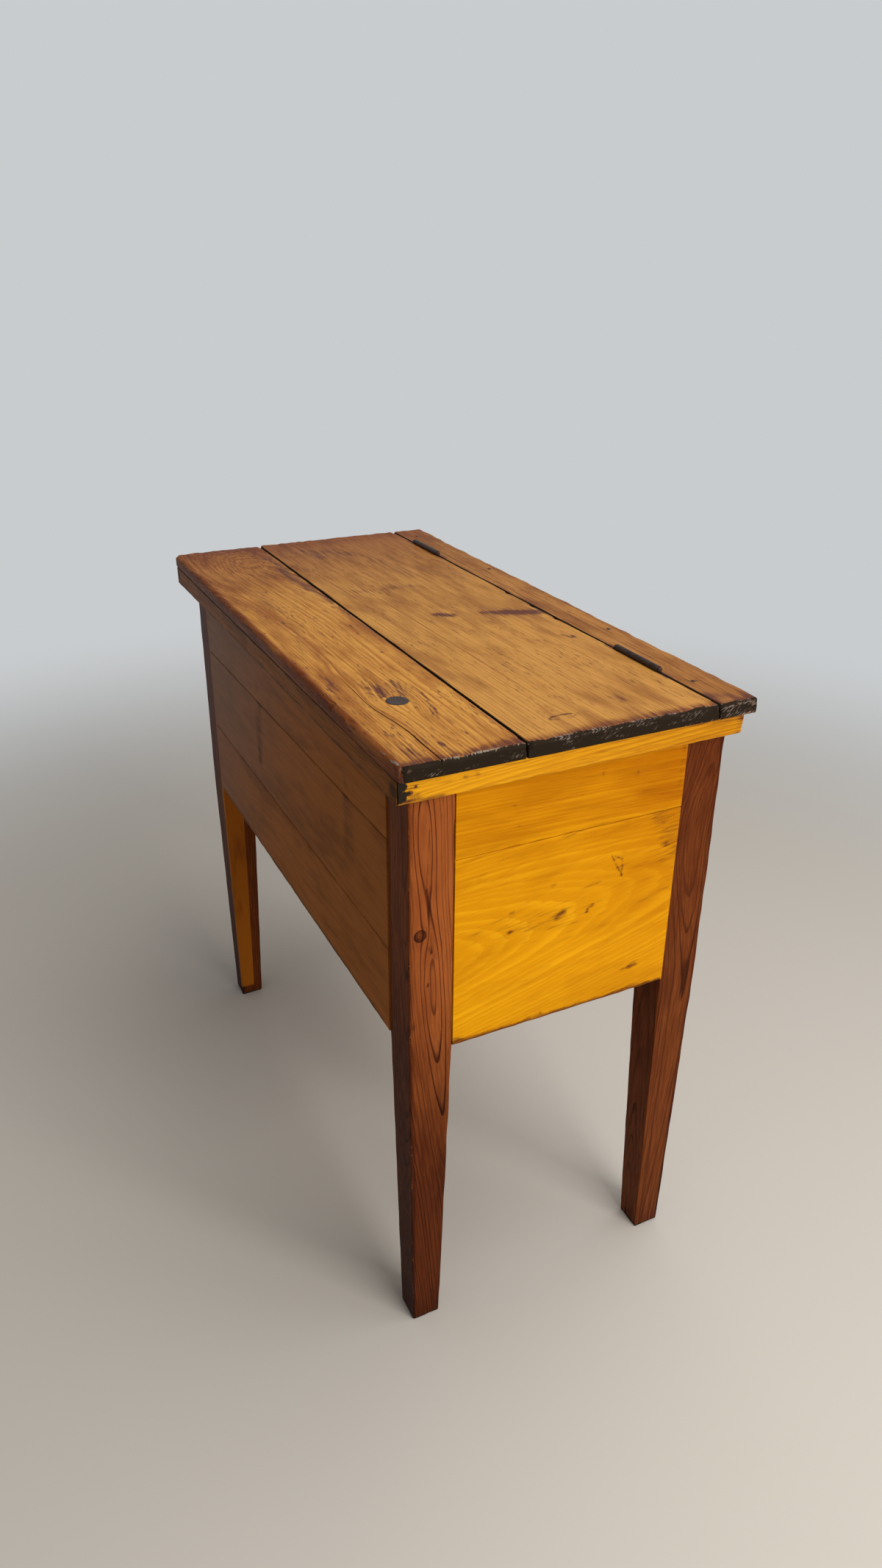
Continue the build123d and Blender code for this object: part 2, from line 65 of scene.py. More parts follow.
# %% [markdown]
# ## Where to stand
#
# The box is seen from its right front corner, a little above the lid, as by someone who stands at it.
# A lens can be given in pixels: the distance at which a picture of that many pixels has its true
# angles. Blender wants millimetres on a sensor, so the height of the picture, 2133 pixels, is laid on
# a sensor 36 mm high. The camera leans a hair out of level, which is the roll.

# %% Camera
PICTURE_HEIGHT = 2133
FOCAL_PIXELS = 1476.3
SHIFT_PIXELS = -8.93
SENSOR = 36.0
eye = Vector((1.1554, -0.5287, 1.1337))
yaw, pitch, roll = (math.radians(a) for a in (63.795, 25.858, 0.4715))


def new_object(name, data):
    """An object in the scene, at the origin, for a camera, a lamp or a mesh."""
    made = bpy.data.objects.new(name, data)
    bpy.context.scene.collection.objects.link(made)
    return made


lens = bpy.data.cameras.new("camera")
lens.sensor_fit = "VERTICAL"
lens.sensor_height = SENSOR
lens.lens = FOCAL_PIXELS / PICTURE_HEIGHT * SENSOR
lens.shift_y = SHIFT_PIXELS / PICTURE_HEIGHT
lens.clip_start = 0.02
camera = new_object("camera", lens)
turn = (Matrix.Rotation(yaw, 4, "Z") @ Matrix.Rotation(math.pi / 2 - pitch, 4, "X")
        @ Matrix.Rotation(roll, 4, "Z"))
camera.matrix_world = Matrix.Translation(eye) @ turn
bpy.context.scene.camera = camera
print("lens", round(lens.lens, 2), "mm, looking along", [round(v, 3) for v in turn @ Vector((0, 0, -1))])

# %% [markdown]
# ## A small kit for materials
#
# Colours are written as they look on a screen, in hex. Blender reckons in linear light, so one function
# turns them. One more function adds a node to a material, joins it up and hands back its output, so
# that a material reads as a chain of short steps. Two sets of settings that come up again and again get
# a name: a Map Range node that turns smoothly, and a Mix node for colours, whose input 0 is how much,
# 6 the colour below and 7 the colour above.

# %% Colour and node helpers
SMOOTH = {"interpolation_type": "SMOOTHSTEP"}
LAID = {"data_type": "RGBA", "out": 2}


def colour(hex_code):
    """An sRGB hex colour as linear red, green, blue and alpha, by the sRGB curve."""
    parts = [int(hex_code[i:i + 2], 16) / 255 for i in (1, 3, 5)]
    return [c / 12.92 if c < 0.04045 else ((c + 0.055) / 1.055) ** 2.4 for c in parts] + [1.0]


def add(tree, kind, inputs=(), out=0, **settings):
    """Add a shader node, set its settings and its inputs, and answer with one of its outputs, if any.

    The inputs are a list from the node's first one on, or a dictionary by number or name. An output of
    another node is linked, and a hex code becomes a colour.
    """
    node = tree.nodes.new("ShaderNode" + kind)
    for name, value in settings.items():
        setattr(node, name, value)
    for key, value in inputs.items() if isinstance(inputs, dict) else enumerate(inputs):
        if isinstance(value, bpy.types.NodeSocket):
            tree.links.new(value, node.inputs[key])
        else:
            node.inputs[key].default_value = colour(value) if isinstance(value, str) else value
    return node.outputs[out] if node.outputs else None


def blank_material(name):
    """A material with an empty node tree."""
    material = bpy.data.materials.new(name)
    material.use_nodes = True
    material.node_tree.nodes.clear()
    return material, material.node_tree


print("amber #ca9244 in linear light:", [round(c, 3) for c in colour("#ca9244")])

# %% [markdown]
# ## Wood that was once a tree
#
# Growth rings are sheaths round the pith of a trunk. A board is a slice of that trunk, and what we call
# its figure is only where the slice cuts the rings: straight lines on one face, arches on another and
# arcs on the end. So the material doesn't draw lines. It is told where each point was in the trunk,
# in metres along it and across it from the pith, and measures its distance from the pith. That
# distance, divided by the width of a ring, says how far through a year the point is. Early in the
# year pine grows pale and soft, late in the year dark and hard, and winter ends it sharply.
#
# All the woods share one set of looks, and each changes what it needs.

# %% What a wood can be told
LOOKS = dict(
    line=0.8,  # how dark the strongest late wood is, from 0 to 1
    soft=0.3,  # the part of a year at which the wood begins to darken
    wander=1.0,  # how far the grain wanders, over what pine's does
    fibre=0.5,  # how much the fibres show
    blotch=0.4,  # how much the blotches show
    flecks=0.0,  # how dark the short flecks are
    ragged=1.2,  # how much the fibres break up the edges of what age painted on
    film="#b99aae",  # what varnish that has built up does to the colour under it
    film_lies="MULTIPLY",  # as a filter over it, or with MIX as a skin of its own
    mark="#5c2f1b",  # stains and knots
    soot="#251d15",  # black grime
    # rub is also the colour of painted highlights along the lid's edges
    rub="#7c6e66",  # bare, greyed wood where the varnish has gone
    rough=0.42,  # roughness, 0.3 for a waxed shine and 0.6 for bare wood
    shine=0.05,  # specular level: old shellac has little gloss of its own
    coat=0.03,  # weight of a clear coat over it
    pith=None,  # for a CAD piece only: where its pith runs, as a Mapping node's place and turn
)
print("a wood is told", len(LOOKS), "things besides its colours and the width of its rings")

# %% [markdown]
# ### Rings
#
# Before the distance from the pith is measured, the grain is made to wander by two noises, one with waves
# about 300 mm long and 40 mm wide and one of 70 by 6 mm. Noise is stretched along the grain by
# giving it its place times the number of waves in a metre, few along and many across.

# %% Year rings
NOISE = {"Scale": 1.0, "Roughness": 0.6}  # its waves come from the place that it is given


def year_rings(tree, place, ring, look):
    """How much of each point is late wood, from 0 to 1, and the point's place once the grain wanders.

    The ring number is the distance from the pith over the ring's width in mm, with a slow noise added so
    that years differ. Its fraction rises smoothly from early wood to late wood and drops at the end.
    """
    moved = place
    for along, across, reach in ((3.3, 25, 0.007), (14, 160, 0.0014)):
        waves = add(tree, "VectorMath", [place, (along, across, across)], operation="MULTIPLY")
        push = add(tree, "TexNoise", {"Vector": waves, "Detail": 1.0, **NOISE}, out="Color")
        push = add(tree, "VectorMath", [push, (-0.5, -0.5, -0.5)], operation="ADD")
        push = add(tree, "VectorMath", {0: push, "Scale": reach * look.wander}, operation="SCALE")
        moved = add(tree, "VectorMath", [moved, push], operation="ADD")
    cross = add(tree, "VectorMath", [moved, (0, 1, 1)], operation="MULTIPLY")
    away = add(tree, "VectorMath", [cross], out="Value", operation="LENGTH")
    years = add(tree, "Math", [away, 1000 / ring], operation="MULTIPLY")
    uneven = add(tree, "TexNoise", {"W": years, "Scale": 0.23, "Detail": 1.0}, noise_dimensions="1D")
    years = add(tree, "Math", [uneven, 2.6, years], operation="MULTIPLY_ADD")
    part = add(tree, "Math", [years], operation="FRACT")
    rise = add(tree, "MapRange", [part, look.soft, 0.9, 0.0, 1.0], **SMOOTH)
    fall = add(tree, "MapRange", [part, 0.94, 1.0, 1.0, 0.0], **SMOOTH)
    late_wood = add(tree, "Math", [rise, fall], operation="MULTIPLY")
    strong = add(tree, "TexNoise", {"W": years, "Scale": 0.37, "Detail": 0.0}, noise_dimensions="1D")
    strong = add(tree, "MapRange", [strong, 0.3, 0.7, 0.45 * look.line, look.line], **SMOOTH)
    return add(tree, "Math", [late_wood, strong], operation="MULTIPLY"), moved


print("a ring of 3 mm makes", round(1000 / 3.0), "years to the metre")

# %% [markdown]
# ### What age adds
#
# Age is painted into each board's mesh as four numbers at every vertex: a stain (knots and marks),
# soot (black grime), rub (where hands wore the varnish thin) and varnish (where coat upon coat of it
# has built up and browned). They also carry painted light: painted shade in gaps, under the lid and
# down the legs, and painted highlights along edges as rub. The faces that look into the box were never
# varnished at all. Mesh points lie millimetres apart, too far for a crisp edge, so the fibres break the
# painted edges up.

# %% Age
THIN = 0.2  # the painted number for the thinnest varnish; 0 is wood that never had any
BARE = ("#b8935f", "#936a3c", "#8f6b42")  # bare pine: early wood, late wood and its darker blotches
WHOLE = 0.35  # soot and varnish lie in whole patches, so the fibres break their edges up less, by this
SCORES = (900, 900, 900)  # scratches 1 mm wide, and 10 mm long once a Mapping node has stretched them


def add_age(tree, look, body, late_wood, place, patch, noise):
    """Lay over a wood's colour, in this order: bareness, varnish, stain, soot and rubbing.

    Each amount is its painted number plus the fibres' noise, turned smoothly from 0 to 1. The answer is
    the colour, and how sooty and how bare each point is.
    """
    # both noises average a half, so this sum of them averages nothing
    rag = add(tree, "Math", [noise["thread"], 1.3, -0.95], operation="MULTIPLY_ADD")
    rag = add(tree, "Math", [noise["stroke"], 0.6, rag], operation="MULTIPLY_ADD")
    age = add(tree, "Attribute", out="Color", attribute_name="age")
    stained, sooty, rubbed = [add(tree, "SeparateColor", [age], out=channel) for channel in range(3)]
    varnish = add(tree, "Attribute", out="Alpha", attribute_name="age")
    amounts = []
    for painted, ragged, low, high in ((stained, look.ragged, 0.1, 1.0),
                                       (sooty, WHOLE * look.ragged, 0.35, 0.65),
                                       (varnish, WHOLE * (1 - THIN), THIN, 1.0)):
        broken = add(tree, "Math", [rag, ragged, painted], operation="MULTIPLY_ADD")
        amounts.append(add(tree, "MapRange", [broken, low, high, 0.0, 1.0], **SMOOTH))
    stained, sooty, thick = amounts
    # where no varnish was ever laid the wood is bare and dusty
    bare = add(tree, "MapRange", [varnish, 0.0, THIN, 1.0, 0.0], **SMOOTH)
    dust = add(tree, "Mix", {0: late_wood, 6: BARE[0], 7: BARE[1]}, **LAID)
    spots = add(tree, "MapRange", [patch, 0.85, 1.3, 0.0, 0.6], **SMOOTH)
    dust = add(tree, "Mix", {0: spots, 6: dust, 7: BARE[2]}, **LAID)
    # what is rubbed is scored slantwise; only full paint hides the strokes
    slant = add(tree, "Mapping", {0: place, 2: (-0.8, 0.0, 0.7), 3: (3.3, 1.0, 9.0)}, vector_type="TEXTURE")
    slant = add(tree, "VectorMath", [slant, SCORES], operation="MULTIPLY")
    score = add(tree, "TexNoise", {"Vector": slant, "Detail": 1.0, **NOISE})
    rubbed = add(tree, "Math", [score, rubbed], operation="MULTIPLY")
    rubbed = add(tree, "MapRange", [rubbed, 0.16, 0.25, 0.0, 1.0], **SMOOTH)
    spots = add(tree, "MapRange", [patch, 0.95, 1.4, 0.0, 0.8], **SMOOTH)
    worn = add(tree, "Mix", {0: spots, 6: look.rub, 7: look.deep}, **LAID)
    for amount, over, lies in ((bare, dust, "MIX"), (thick, look.film, look.film_lies),
                               (stained, look.mark, "MIX"), (sooty, look.soot, "MIX"), (rubbed, worn, "MIX")):
        body = add(tree, "Mix", {0: amount, 6: body, 7: over}, **LAID, blend_type=lies)
    return body, sooty, bare


print("the thinnest varnish is painted as", THIN)

# %% [markdown]
# ### The whole wood
#
# Over the rings come fibres, drawn coarser than real ones so that they show, blotches where varnish sank
# in or darkened, and short flecks where a resin duct opened or the soft wood was bruised.

# %% Wood material
# noises, each by its waves in a metre, along and across the grain, and its detail
FIBRES = {"thread": (20, 480, 3.0), "stroke": (16, 210, 2.0)}  # 50 by 2 mm and 60 by 5 mm
BLOTCHES = {"broad": (5, 14, 2.0), "streak": (14, 60, 2.0)}  # 200 by 70 mm and 70 by 16 mm
FLECKS = {"crowd": (6, 20, 2.0), "fleck": (60, 560, 1.0)}  # where they crowd, and their peaks, 7 by 1 mm
DULL = 0.25  # how much rougher soot and bare wood are than varnish


def wood(name, early, late, deep, ring, **changes):
    """Softwood cut from a trunk whose rings are `ring` mm wide: rings, fibres, blotches, flecks and age."""
    look = SimpleNamespace(**(LOOKS | changes), deep=deep)
    material, tree = blank_material(name)
    if look.pith:
        place = add(tree, "Mapping", [add(tree, "TexCoord", out="Object"), *look.pith])
    else:
        place = add(tree, "Attribute", out="Vector", attribute_name="tree")
    late_wood, moved = year_rings(tree, place, ring, look)
    noise = {}
    for title, (along, across, detail) in (FIBRES | BLOTCHES | (FLECKS if look.flecks else {})).items():
        spot = place if title == "fleck" else moved
        waves = add(tree, "VectorMath", [spot, (along, across, across)], operation="MULTIPLY")
        noise[title] = add(tree, "TexNoise", {"Vector": waves, "Detail": detail, **NOISE})
    patch = add(tree, "Math", [noise["broad"], noise["streak"]], operation="ADD")
    layers = [(noise["thread"], 0.35, 0.75, look.fibre, late), (patch, 0.85, 1.3, look.blotch, deep)]
    if look.flecks:
        crowd = add(tree, "MapRange", [noise["crowd"], 0.35, 0.65, 0.0, 0.08], **SMOOTH)
        fleck = add(tree, "Math", [noise["fleck"], crowd], operation="ADD")
        layers.append((fleck, 0.69, 0.76, look.flecks, look.mark))
    body = add(tree, "Mix", {0: late_wood, 6: early, 7: late}, **LAID)
    for value, low, high, most, over in layers:
        amount = add(tree, "MapRange", [value, low, high, 0.0, most], **SMOOTH)
        body = add(tree, "Mix", {0: amount, 6: body, 7: over}, **LAID)
    sooty = bare = 0.0
    if not look.pith:
        body, sooty, bare = add_age(tree, look, body, late_wood, place, patch, noise)
    gloss = add(tree, "MapRange", [noise["thread"], 0.3, 0.8, look.rough - 0.06, look.rough + 0.1])
    for amount in (sooty, bare):
        gloss = add(tree, "Math", [amount, DULL, gloss], operation="MULTIPLY_ADD")
    # late wood stands a few hundredths of a millimetre proud once the soft wood has worn
    ridge = add(tree, "Math", [late_wood, 0.5, noise["thread"]], operation="MULTIPLY_ADD")
    facing = add(tree, "Bump", {"Height": ridge, "Strength": 0.5, "Distance": 0.0003})
    shader = add(tree, "BsdfPrincipled",
                 {"Base Color": body, "Roughness": gloss, "Normal": facing, "IOR": 1.5,
                  "Specular IOR Level": look.shine,
                  "Coat Weight": look.coat, "Coat Roughness": 0.22, "Coat IOR": 1.5})
    add(tree, "OutputMaterial", [shader])
    return material


print("noises in every wood:", [*FIBRES, *BLOTCHES])

# %% [markdown]
# ## The woods of this box
#
# The lid and boards are pine under old shellac, which turns amber. It is brightest on the end, where
# the sun didn't reach, and smoky brown on the front. The legs are fir stained red-brown, whose late
# wood takes the stain as dark lines. Inside, the pine was never finished.
#
# The colours are early wood, late wood and blotches, and the number is the width of a ring in mm.

# %% Materials for the boards and legs

# sawn and planed pine under worn shellac: honey between brown lines, with brown blotches and flecks
lid_pine = wood("lid pine, shellacked amber", "#ca9244", "#915426", "#874c22", 3.0, line=0.75, fibre=0.4,
                flecks=0.9, blotch=0.75, ragged=1.8, coat=0.01, shine=0.02, mark="#5f382c", rub="#85796b")
# the same from the side of the trunk: its lines are fainter, straighter and closer to the blotches
wide_pine = wood("wide plank pine, shellacked amber", "#c18c46", "#8e592b", "#855228", 3.2, line=0.65,
                 fibre=0.22, flecks=0.6, blotch=0.65, soft=0.5, ragged=1.5, coat=0.01, shine=0.02,
                 mark="#5d362b", wander=0.5)
# pine under younger varnish: the yellowest and glossiest edge on the box
cleat_pine = wood("cleat pine, fresh varnish", "#dc9a14", "#ad6c0c", "#bc760c", 3.4, line=0.7, fibre=0.35,
                  rough=0.36, blotch=0.35)
# pine under thick golden varnish, which sank into the soft early wood: the late wood shows paler, as
# yellow arches on a deeper yellow, and browned varnish only dulls it
end_pine = wood("end board pine, golden varnish", "#cf8a05", "#ecab12", "#b67104", 3.6, line=0.5, fibre=0.3,
                rough=0.36, blotch=0.5, coat=0.0, shine=0.03, mark="#6b3a12", film="#c49a48")
# pine behind varnish that smoke and hands turned into a brown skin: hardly any lines, and no gloss; the
# grey-brown skin, laid thickest at the left, is also a painted sheen
front_pine = wood("front board pine, smoky varnish and painted sheen", "#9c5c25", "#784210", "#62350f", 3.0, line=0.3,
                  fibre=0.2, blotch=0.55, ragged=0.4, coat=0.0, shine=0.02, mark="#452c14", film="#7d6050",
                  film_lies="MIX")
# pine that got one thin coat, against the wall: plain light brown, and rougher
back_pine = wood("back board pine, thin varnish", "#a87a45", "#835529", "#7a5029", 3.2, line=0.55, fibre=0.4,
                 rough=0.5, coat=0.0)
# planed pine that was never finished: pale, dusty and matt
inner_pine = wood("inner pine, bare and aged", *BARE, 3.4, line=0.6, fibre=0.4, rough=0.62, coat=0.0,
                  pith=((0.0, 0.11, -0.35), (0.02, 0.01, 0.015)))
# planed fir, stained: near-black lines on red-brown, and orange where the stain never reached
leg_fir = wood("leg fir, red-brown stain", "#9c5527", "#36140a", "#6b3016", 4.0, line=0.92, fibre=0.2,
               coat=0.0, shine=0.03, blotch=0.45, soft=0.66, ragged=0.6, rub="#9e5916", mark="#30120a",
               wander=0.9, film="#94878c")
print("woods", [m.name for m in bpy.data.materials if m.use_nodes and "," in m.name])

# %% [markdown]
# ## The surface of a board
#
# A board can be modelled as a cube with bevels, but worn edges are never even. Here it is one grid: the
# outline of its section, carried along its length. Past each end the outline is drawn in onto its
# own middle line, so the same grid also closes the ends. Every vertex knows how far along, across and
# through the board it is, so wear can be written as a rule on whole arrays.

# %% Grid of a board
ARC_SHARES = np.array([0.33, 0.59, 0.8, 1.0])  # places on a rounded edge, over its radius


def places(length, step, extra=(), edge=3.0):
    """Places from 0 to length about a step apart, with more of them near both ends and at the extras."""
    arc = edge * ARC_SHARES
    even = np.linspace(0, length, int(round(length / step)) + 1)
    return np.unique(np.round(np.concatenate([even, arc, length - arc, np.asarray(extra, float)]), 3))


def board_grid(low, high, axes, step, edge=3.0, stations=(), columns=(), levels=(), rings=5):
    """Points on a box between two corners, in mm: its section's outline carried along the first axis.

    axes are the numbers of the long, the wide and the thick direction. stations, columns and levels are
    extra places along, across and through the board, in the frame's own millimetres. At each end the
    outline shrinks by equal steps to the middle line of the section.
    """
    size = np.subtract(high, low)[list(axes)]
    start = np.asarray(low)[list(axes)]
    along, across, through = [places(size[i], step, np.asarray(extra) - start[i], edge)
                              for i, extra in enumerate((stations, columns, levels))]
    wide = np.concatenate([across, np.full(len(through) - 1, size[1]), across[-2::-1],
                           np.zeros(len(through) - 2)])
    thick = np.concatenate([np.zeros(len(across)), through[1:], np.full(len(across) - 1, size[2]),
                            through[-2:0:-1]])
    drawn = np.linspace(0, 1, rings + 1)[1:, None]
    half = size[2] / 2
    wide_end = np.clip(wide, drawn * half, size[1] - drawn * half)
    thick_end = half + (thick - half) * (1 - drawn)
    rows = len(along)
    grid = np.empty((rows + 2 * rings, len(wide), 3))
    grid[..., 0] = np.pad(along, rings, mode="edge")[:, None]
    grid[..., 1] = np.concatenate([wide_end[::-1], np.tile(wide, (rows, 1)), wide_end])
    grid[..., 2] = np.concatenate([thick_end[::-1], np.tile(thick, (rows, 1)), thick_end])
    points = np.empty_like(grid)
    points[..., list(axes)] = grid + start
    return points


print("a 100 mm edge in steps of 4 mm has", len(places(100, 4.0)), "places")

# %% [markdown]
# ### Rules for wear
#
# Rounding is one formula. Shrink the box by the radius, find the nearest point in the shrunken box, and
# stand off from it by the radius: on a flat face nothing moves, and near an edge points move onto an
# arc. The radius may differ from point to point, and that is what makes an edge look worn. The
# other rules are shapes of one number: a bell, a smooth step and an uneven ripple.

# %% Wear rules


def ease(points, low, high, radius):
    """Round a box's edges: each point stands off by the radius from the box shrunk by the radius."""
    radius = np.broadcast_to(np.asarray(radius, float), points.shape[:-1])[..., None]
    inner = np.clip(points, np.asarray(low) + radius, np.asarray(high) - radius)
    out = points - inner
    return inner + out * radius / np.maximum(np.linalg.norm(out, axis=-1, keepdims=True), 1e-9)


def ripple(points, size, seed):
    """Smooth noise, about -1 to 1: a sum of sine waves in random directions, `size` mm long per axis."""
    rng = np.random.default_rng(seed)
    waves = rng.normal(size=(16, 3)) * 2 * np.pi / np.broadcast_to(size, 3)
    phases = rng.uniform(0, 2 * np.pi, 16)
    return np.sin(points @ waves.T + phases).sum(axis=-1) / 5


def hump(value, middle, reach):
    """A bell: 1 at the middle, falling to about a third at the reach."""
    return np.exp(-((value - middle) / reach) ** 2)


def ramp(value, start, stop):
    """0 before start and 1 after stop, turning smoothly between them."""
    t = np.clip((value - start) / (stop - start), 0, 1)
    return t * t * (3 - 2 * t)


print("a bell of reach 2 mm, at 0, 1, 2 and 4 mm:", np.round(hump(np.array([0, 1, 2, 4]), 0, 2), 2))

# %% [markdown]
# ### From grid to mesh
#
# The grid becomes a mesh in one step: two triangles a cell, closed round. The points where the ends were
# drawn together coincide, so equal points are welded and triangles that lost a side are dropped.
# A closed surface has a volume, and its sign says whether the faces look out, so the sign decides
# the order of their corners.

# %% Mesh from a grid
SHARP = math.radians(50)  # edges sharper than this aren't shaded smooth


def make_piece(name, node, points, material, tree, age):
    """A closed mesh from a grid of points, in mm, that stands for a CAD node and rides on its body."""
    rows, columns = points.shape[:2]
    index = np.arange(rows * columns).reshape(rows, columns)
    here, right = index[:-1], np.roll(index, -1, axis=1)[:-1]
    above, corner = index[1:], np.roll(index, -1, axis=1)[1:]
    faces = np.concatenate([np.stack([here, right, corner], -1).reshape(-1, 3),
                            np.stack([here, corner, above], -1).reshape(-1, 3)])
    flat = np.round(points.reshape(-1, 3), 4)
    flat, first, weld = np.unique(flat, axis=0, return_index=True, return_inverse=True)
    faces = weld.reshape(-1)[faces]
    a, b, c = faces.T
    faces = faces[(a != b) & (b != c) & (a != c)]
    corners = flat[faces]
    volume = np.einsum("ij,ij->i", corners[:, 0], np.cross(corners[:, 1], corners[:, 2])).sum() / 6
    if volume < 0:
        faces = faces[:, ::-1]
    mesh = bpy.data.meshes.new(name)
    mesh.from_pydata((flat / 1000).tolist(), [], faces.tolist())
    spot = mesh.attributes.new("tree", "FLOAT_VECTOR", "POINT")
    spot.data.foreach_set("vector", (tree.reshape(-1, 3)[first] / 1000).ravel().astype("f"))
    spot = mesh.attributes.new("age", "FLOAT_COLOR", "POINT")
    spot.data.foreach_set("color", np.clip(age.reshape(-1, 4), 0, 1)[first].ravel().astype("f"))
    mesh.shade_smooth()
    mesh.set_sharp_from_angle(angle=SHARP)
    mesh.materials.append(material)
    piece = new_object(name, mesh)
    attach(piece, "lid" if node.startswith("lid") else "box")
    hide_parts(node)
    print(name, len(faces), "triangles,", round(abs(volume) / 1e6, 3), "litres")


def corners(node):
    """A CAD node's lowest and highest corners, in mm."""
    return [np.round(np.array(corner) * 1000, 2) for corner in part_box(node)]


print("the front plank lies between", *[corner.tolist() for corner in corners("lid_front_plank")], "mm")

# %% [markdown]
# ### Where a board was in its tree
#
# The material needs each point's place in the trunk. A board is straight, so that is its own place less
# the pith's, and a pith that leans makes the rings run out of the face as arches. A knot is a
# branch, and grain parts round it as water does round a post.

# %% Place in the trunk


def in_trunk(points, axes, middle, pith=(0, 0), lean=(0.0, 0.0), knots=(), course=()):
    """Each point's place in the tree, in mm: along the trunk, and across it from the pith.

    pith is where the pith runs, across and through from the board's middle, and lean is how far it
    drifts for each mm along. A crooked tree's pith is given as a course instead, a list of places
    (along, across, through) in the frame's millimetres, whose corners are averaged away over 40 mm.
    Grain parts round a knot: near one, distances across shrink, so that the rings which would have
    crossed the knot pass beside it.
    """
    spot, side, depth = [points[..., axis] for axis in axes]
    along = spot - middle[axes[0]]
    across = side - middle[axes[1]] - pith[0] - lean[0] * along
    through = depth - middle[axes[2]] - pith[1] - lean[1] * along
    if course:
        at, *offsets = np.array(sorted(course), float).T
        shifted = [spot + d for d in np.linspace(-20, 20, 7)]
        across, through = [value - np.mean([np.interp(place, at, offset) for place in shifted], axis=0)
                           for value, offset in zip((side, depth), offsets)]
    for knot, knot_side, long, wide, push in knots:
        across = across - (side - knot_side) * push * (hump(spot, knot, long) * hump(side, knot_side, wide))
    return np.stack([along, across, through], -1)


origin = np.zeros((1, 3))
print("50 mm from the pith:", in_trunk(origin, (0, 1, 2), (0, 0, 0), pith=(30, 40))[0, 1:])

# %% [markdown]
# ### Marks, knots and the four numbers of age
#
# Every stain on the box is one of two shapes: a smear along a short line, or the face of a knot. A
# list of marks is added up, and the ripple that frays each one has a seed of its own.

# %% What age paints
FAINT = 0.35  # how strong a mark is on bare wood, over what it is under varnish


def aged(points, stain=0.0, soot=0.0, rub=0.0, varnish=0.0, bare=False):
    """The four numbers that age paints at each point, each one array or the same all over.

    Varnish is stored from THIN up, so that 0 can mean bare wood, which also shows its marks less.
    """
    varnish = np.where(bare, 0.0, THIN + (1 - THIN) * np.clip(varnish, 0, 1))
    stain = stain * np.where(bare, FAINT, 1.0)
    return np.stack([np.broadcast_to(value, points.shape[:-1]) for value in (stain, soot, rub, varnish)], -1)


def knot_face(points, axes, spot, radii, fill=0.62):
    """A knot's face: a dark rim and paler rings inside it, by the distance to its centre over its radii."""
    offset = [(points[..., axis] - middle) / radius for axis, middle, radius in zip(axes, spot, radii)]
    away = np.hypot(*offset)
    return 0.75 * hump(away, 1.0, 0.16) + np.where(away < 1, fill + 0.14 * np.cos(11 * away), 0)


def smears(points, axes, marks, seed):
    """Marks added up, each a bell of the distance to its line, with an uneven edge.

    A mark is the place along and across where its line starts, the same where it stops, its width in mm
    and its strength.
    """
    spot = np.stack([points[..., axes[0]], points[..., axes[1]]], -1)
    total = 0.0
    for number, (*ends, wide, strength) in enumerate(marks):
        start, run = ends[:2], np.subtract(ends[2:], ends[:2])
        t = np.clip(((spot - start) @ run) / max(run @ run, 1e-9), 0, 1)
        distance = np.linalg.norm(spot - (start + t[..., None] * run), axis=-1)
        frayed = 1 + 0.35 * ripple(points, (6 * wide, 1.5 * wide, 20), seed + number)
        total = total + strength * np.exp(-(distance / wide) ** 2 * frayed)
    return total


print("varnished:", aged(origin, varnish=1.0)[0], "bare:", aged(origin, bare=True)[0])

# %% [markdown]
# ## The lid's front plank
#
# This is the plank that hands met most. Its front edge is worn to a full nose, its right end is black
# with grime under a rubbed top edge, a long crack runs in from that end, and where a knot
# fell out someone let in a round plug. The plank stays one grid: the columns lean over to follow the
# crack, and near the plug rows and columns are drawn onto the rim of the hole.

# %% Grid of the front plank
XYZ = (0, 1, 2)
PLUG = np.array([253.5, -133.0])
PLUG_RADIUS = 11.5
CRACK = np.array([[150, -161.2], [209, -161.9], [241, -163.2], [267, -162.2], [303, -156.8], [327, -154.8],
                  [354, -154.9], [398, -154.3]])
CRACK_COLUMN = -158.0
ROUNDEST = 7.6  # a plank is 16 mm thick, so no edge of it can be rounder than this, in mm

low, high = corners("lid_front_plank")
plank = board_grid(low, high, XYZ, 3.0, edge=6.0, stations=np.arange(PLUG[0] - 15, PLUG[0] + 16),
                   columns=[*range(-156, -102), *(CRACK_COLUMN + np.array([-0.6, -0.3, 0, 0.3, 0.6]))])
x, y, z = np.moveaxis(plank, -1, 0)
top, ends = z > high[2] - 8, np.abs(x) > 380
radius = np.where((y < low[1] + 12) & top, 6.2 + 1.0 * ripple(plank, 60, 1), 1.6)
radius = np.where(ends & top, 4.4 + 1.6 * ripple(plank, (60, 22, 60), 2), radius)
radius = np.where((y > high[1] - 10) & ~ends & top, 1.9 + 0.5 * ripple(plank, 30, 3), radius)
plank = ease(plank, low, high, np.clip(radius, 0.6, ROUNDEST))
print("front plank grid", plank.shape)

# %% [markdown]
# Now the shape of the wear. The two front corners are rounded in plan by turning a square into a
# disc, ring by ring. The crack is a groove 1 to 2 mm deep that fades out at its inner end. The hole's
# floor lies 9 mm down, and the plug will hide it.

# %% Corners, crack and hole
HOLE, HOLE_DEEP = PLUG_RADIUS + 0.12, 9.0
RIM = 3.0  # points nearer to the hole's edge than this are drawn onto it, in mm


def round_plan(points, low, high, corner, radius):
    """Round an upright corner: squares about the corner's centre become circles of the same size."""
    centre = np.where(np.array(corner) > 0, np.array(high[:2]) - radius, np.array(low[:2]) + radius)
    away = points[..., :2] - centre
    outside = ((away * corner) > 0).all(axis=-1)
    square = np.abs(away).max(axis=-1)
    disc = away * (square / np.maximum(np.linalg.norm(away, axis=-1), 1e-9))[..., None]
    points = points.copy()
    points[..., :2] = np.where(outside[..., None], centre + disc, points[..., :2])
    return points


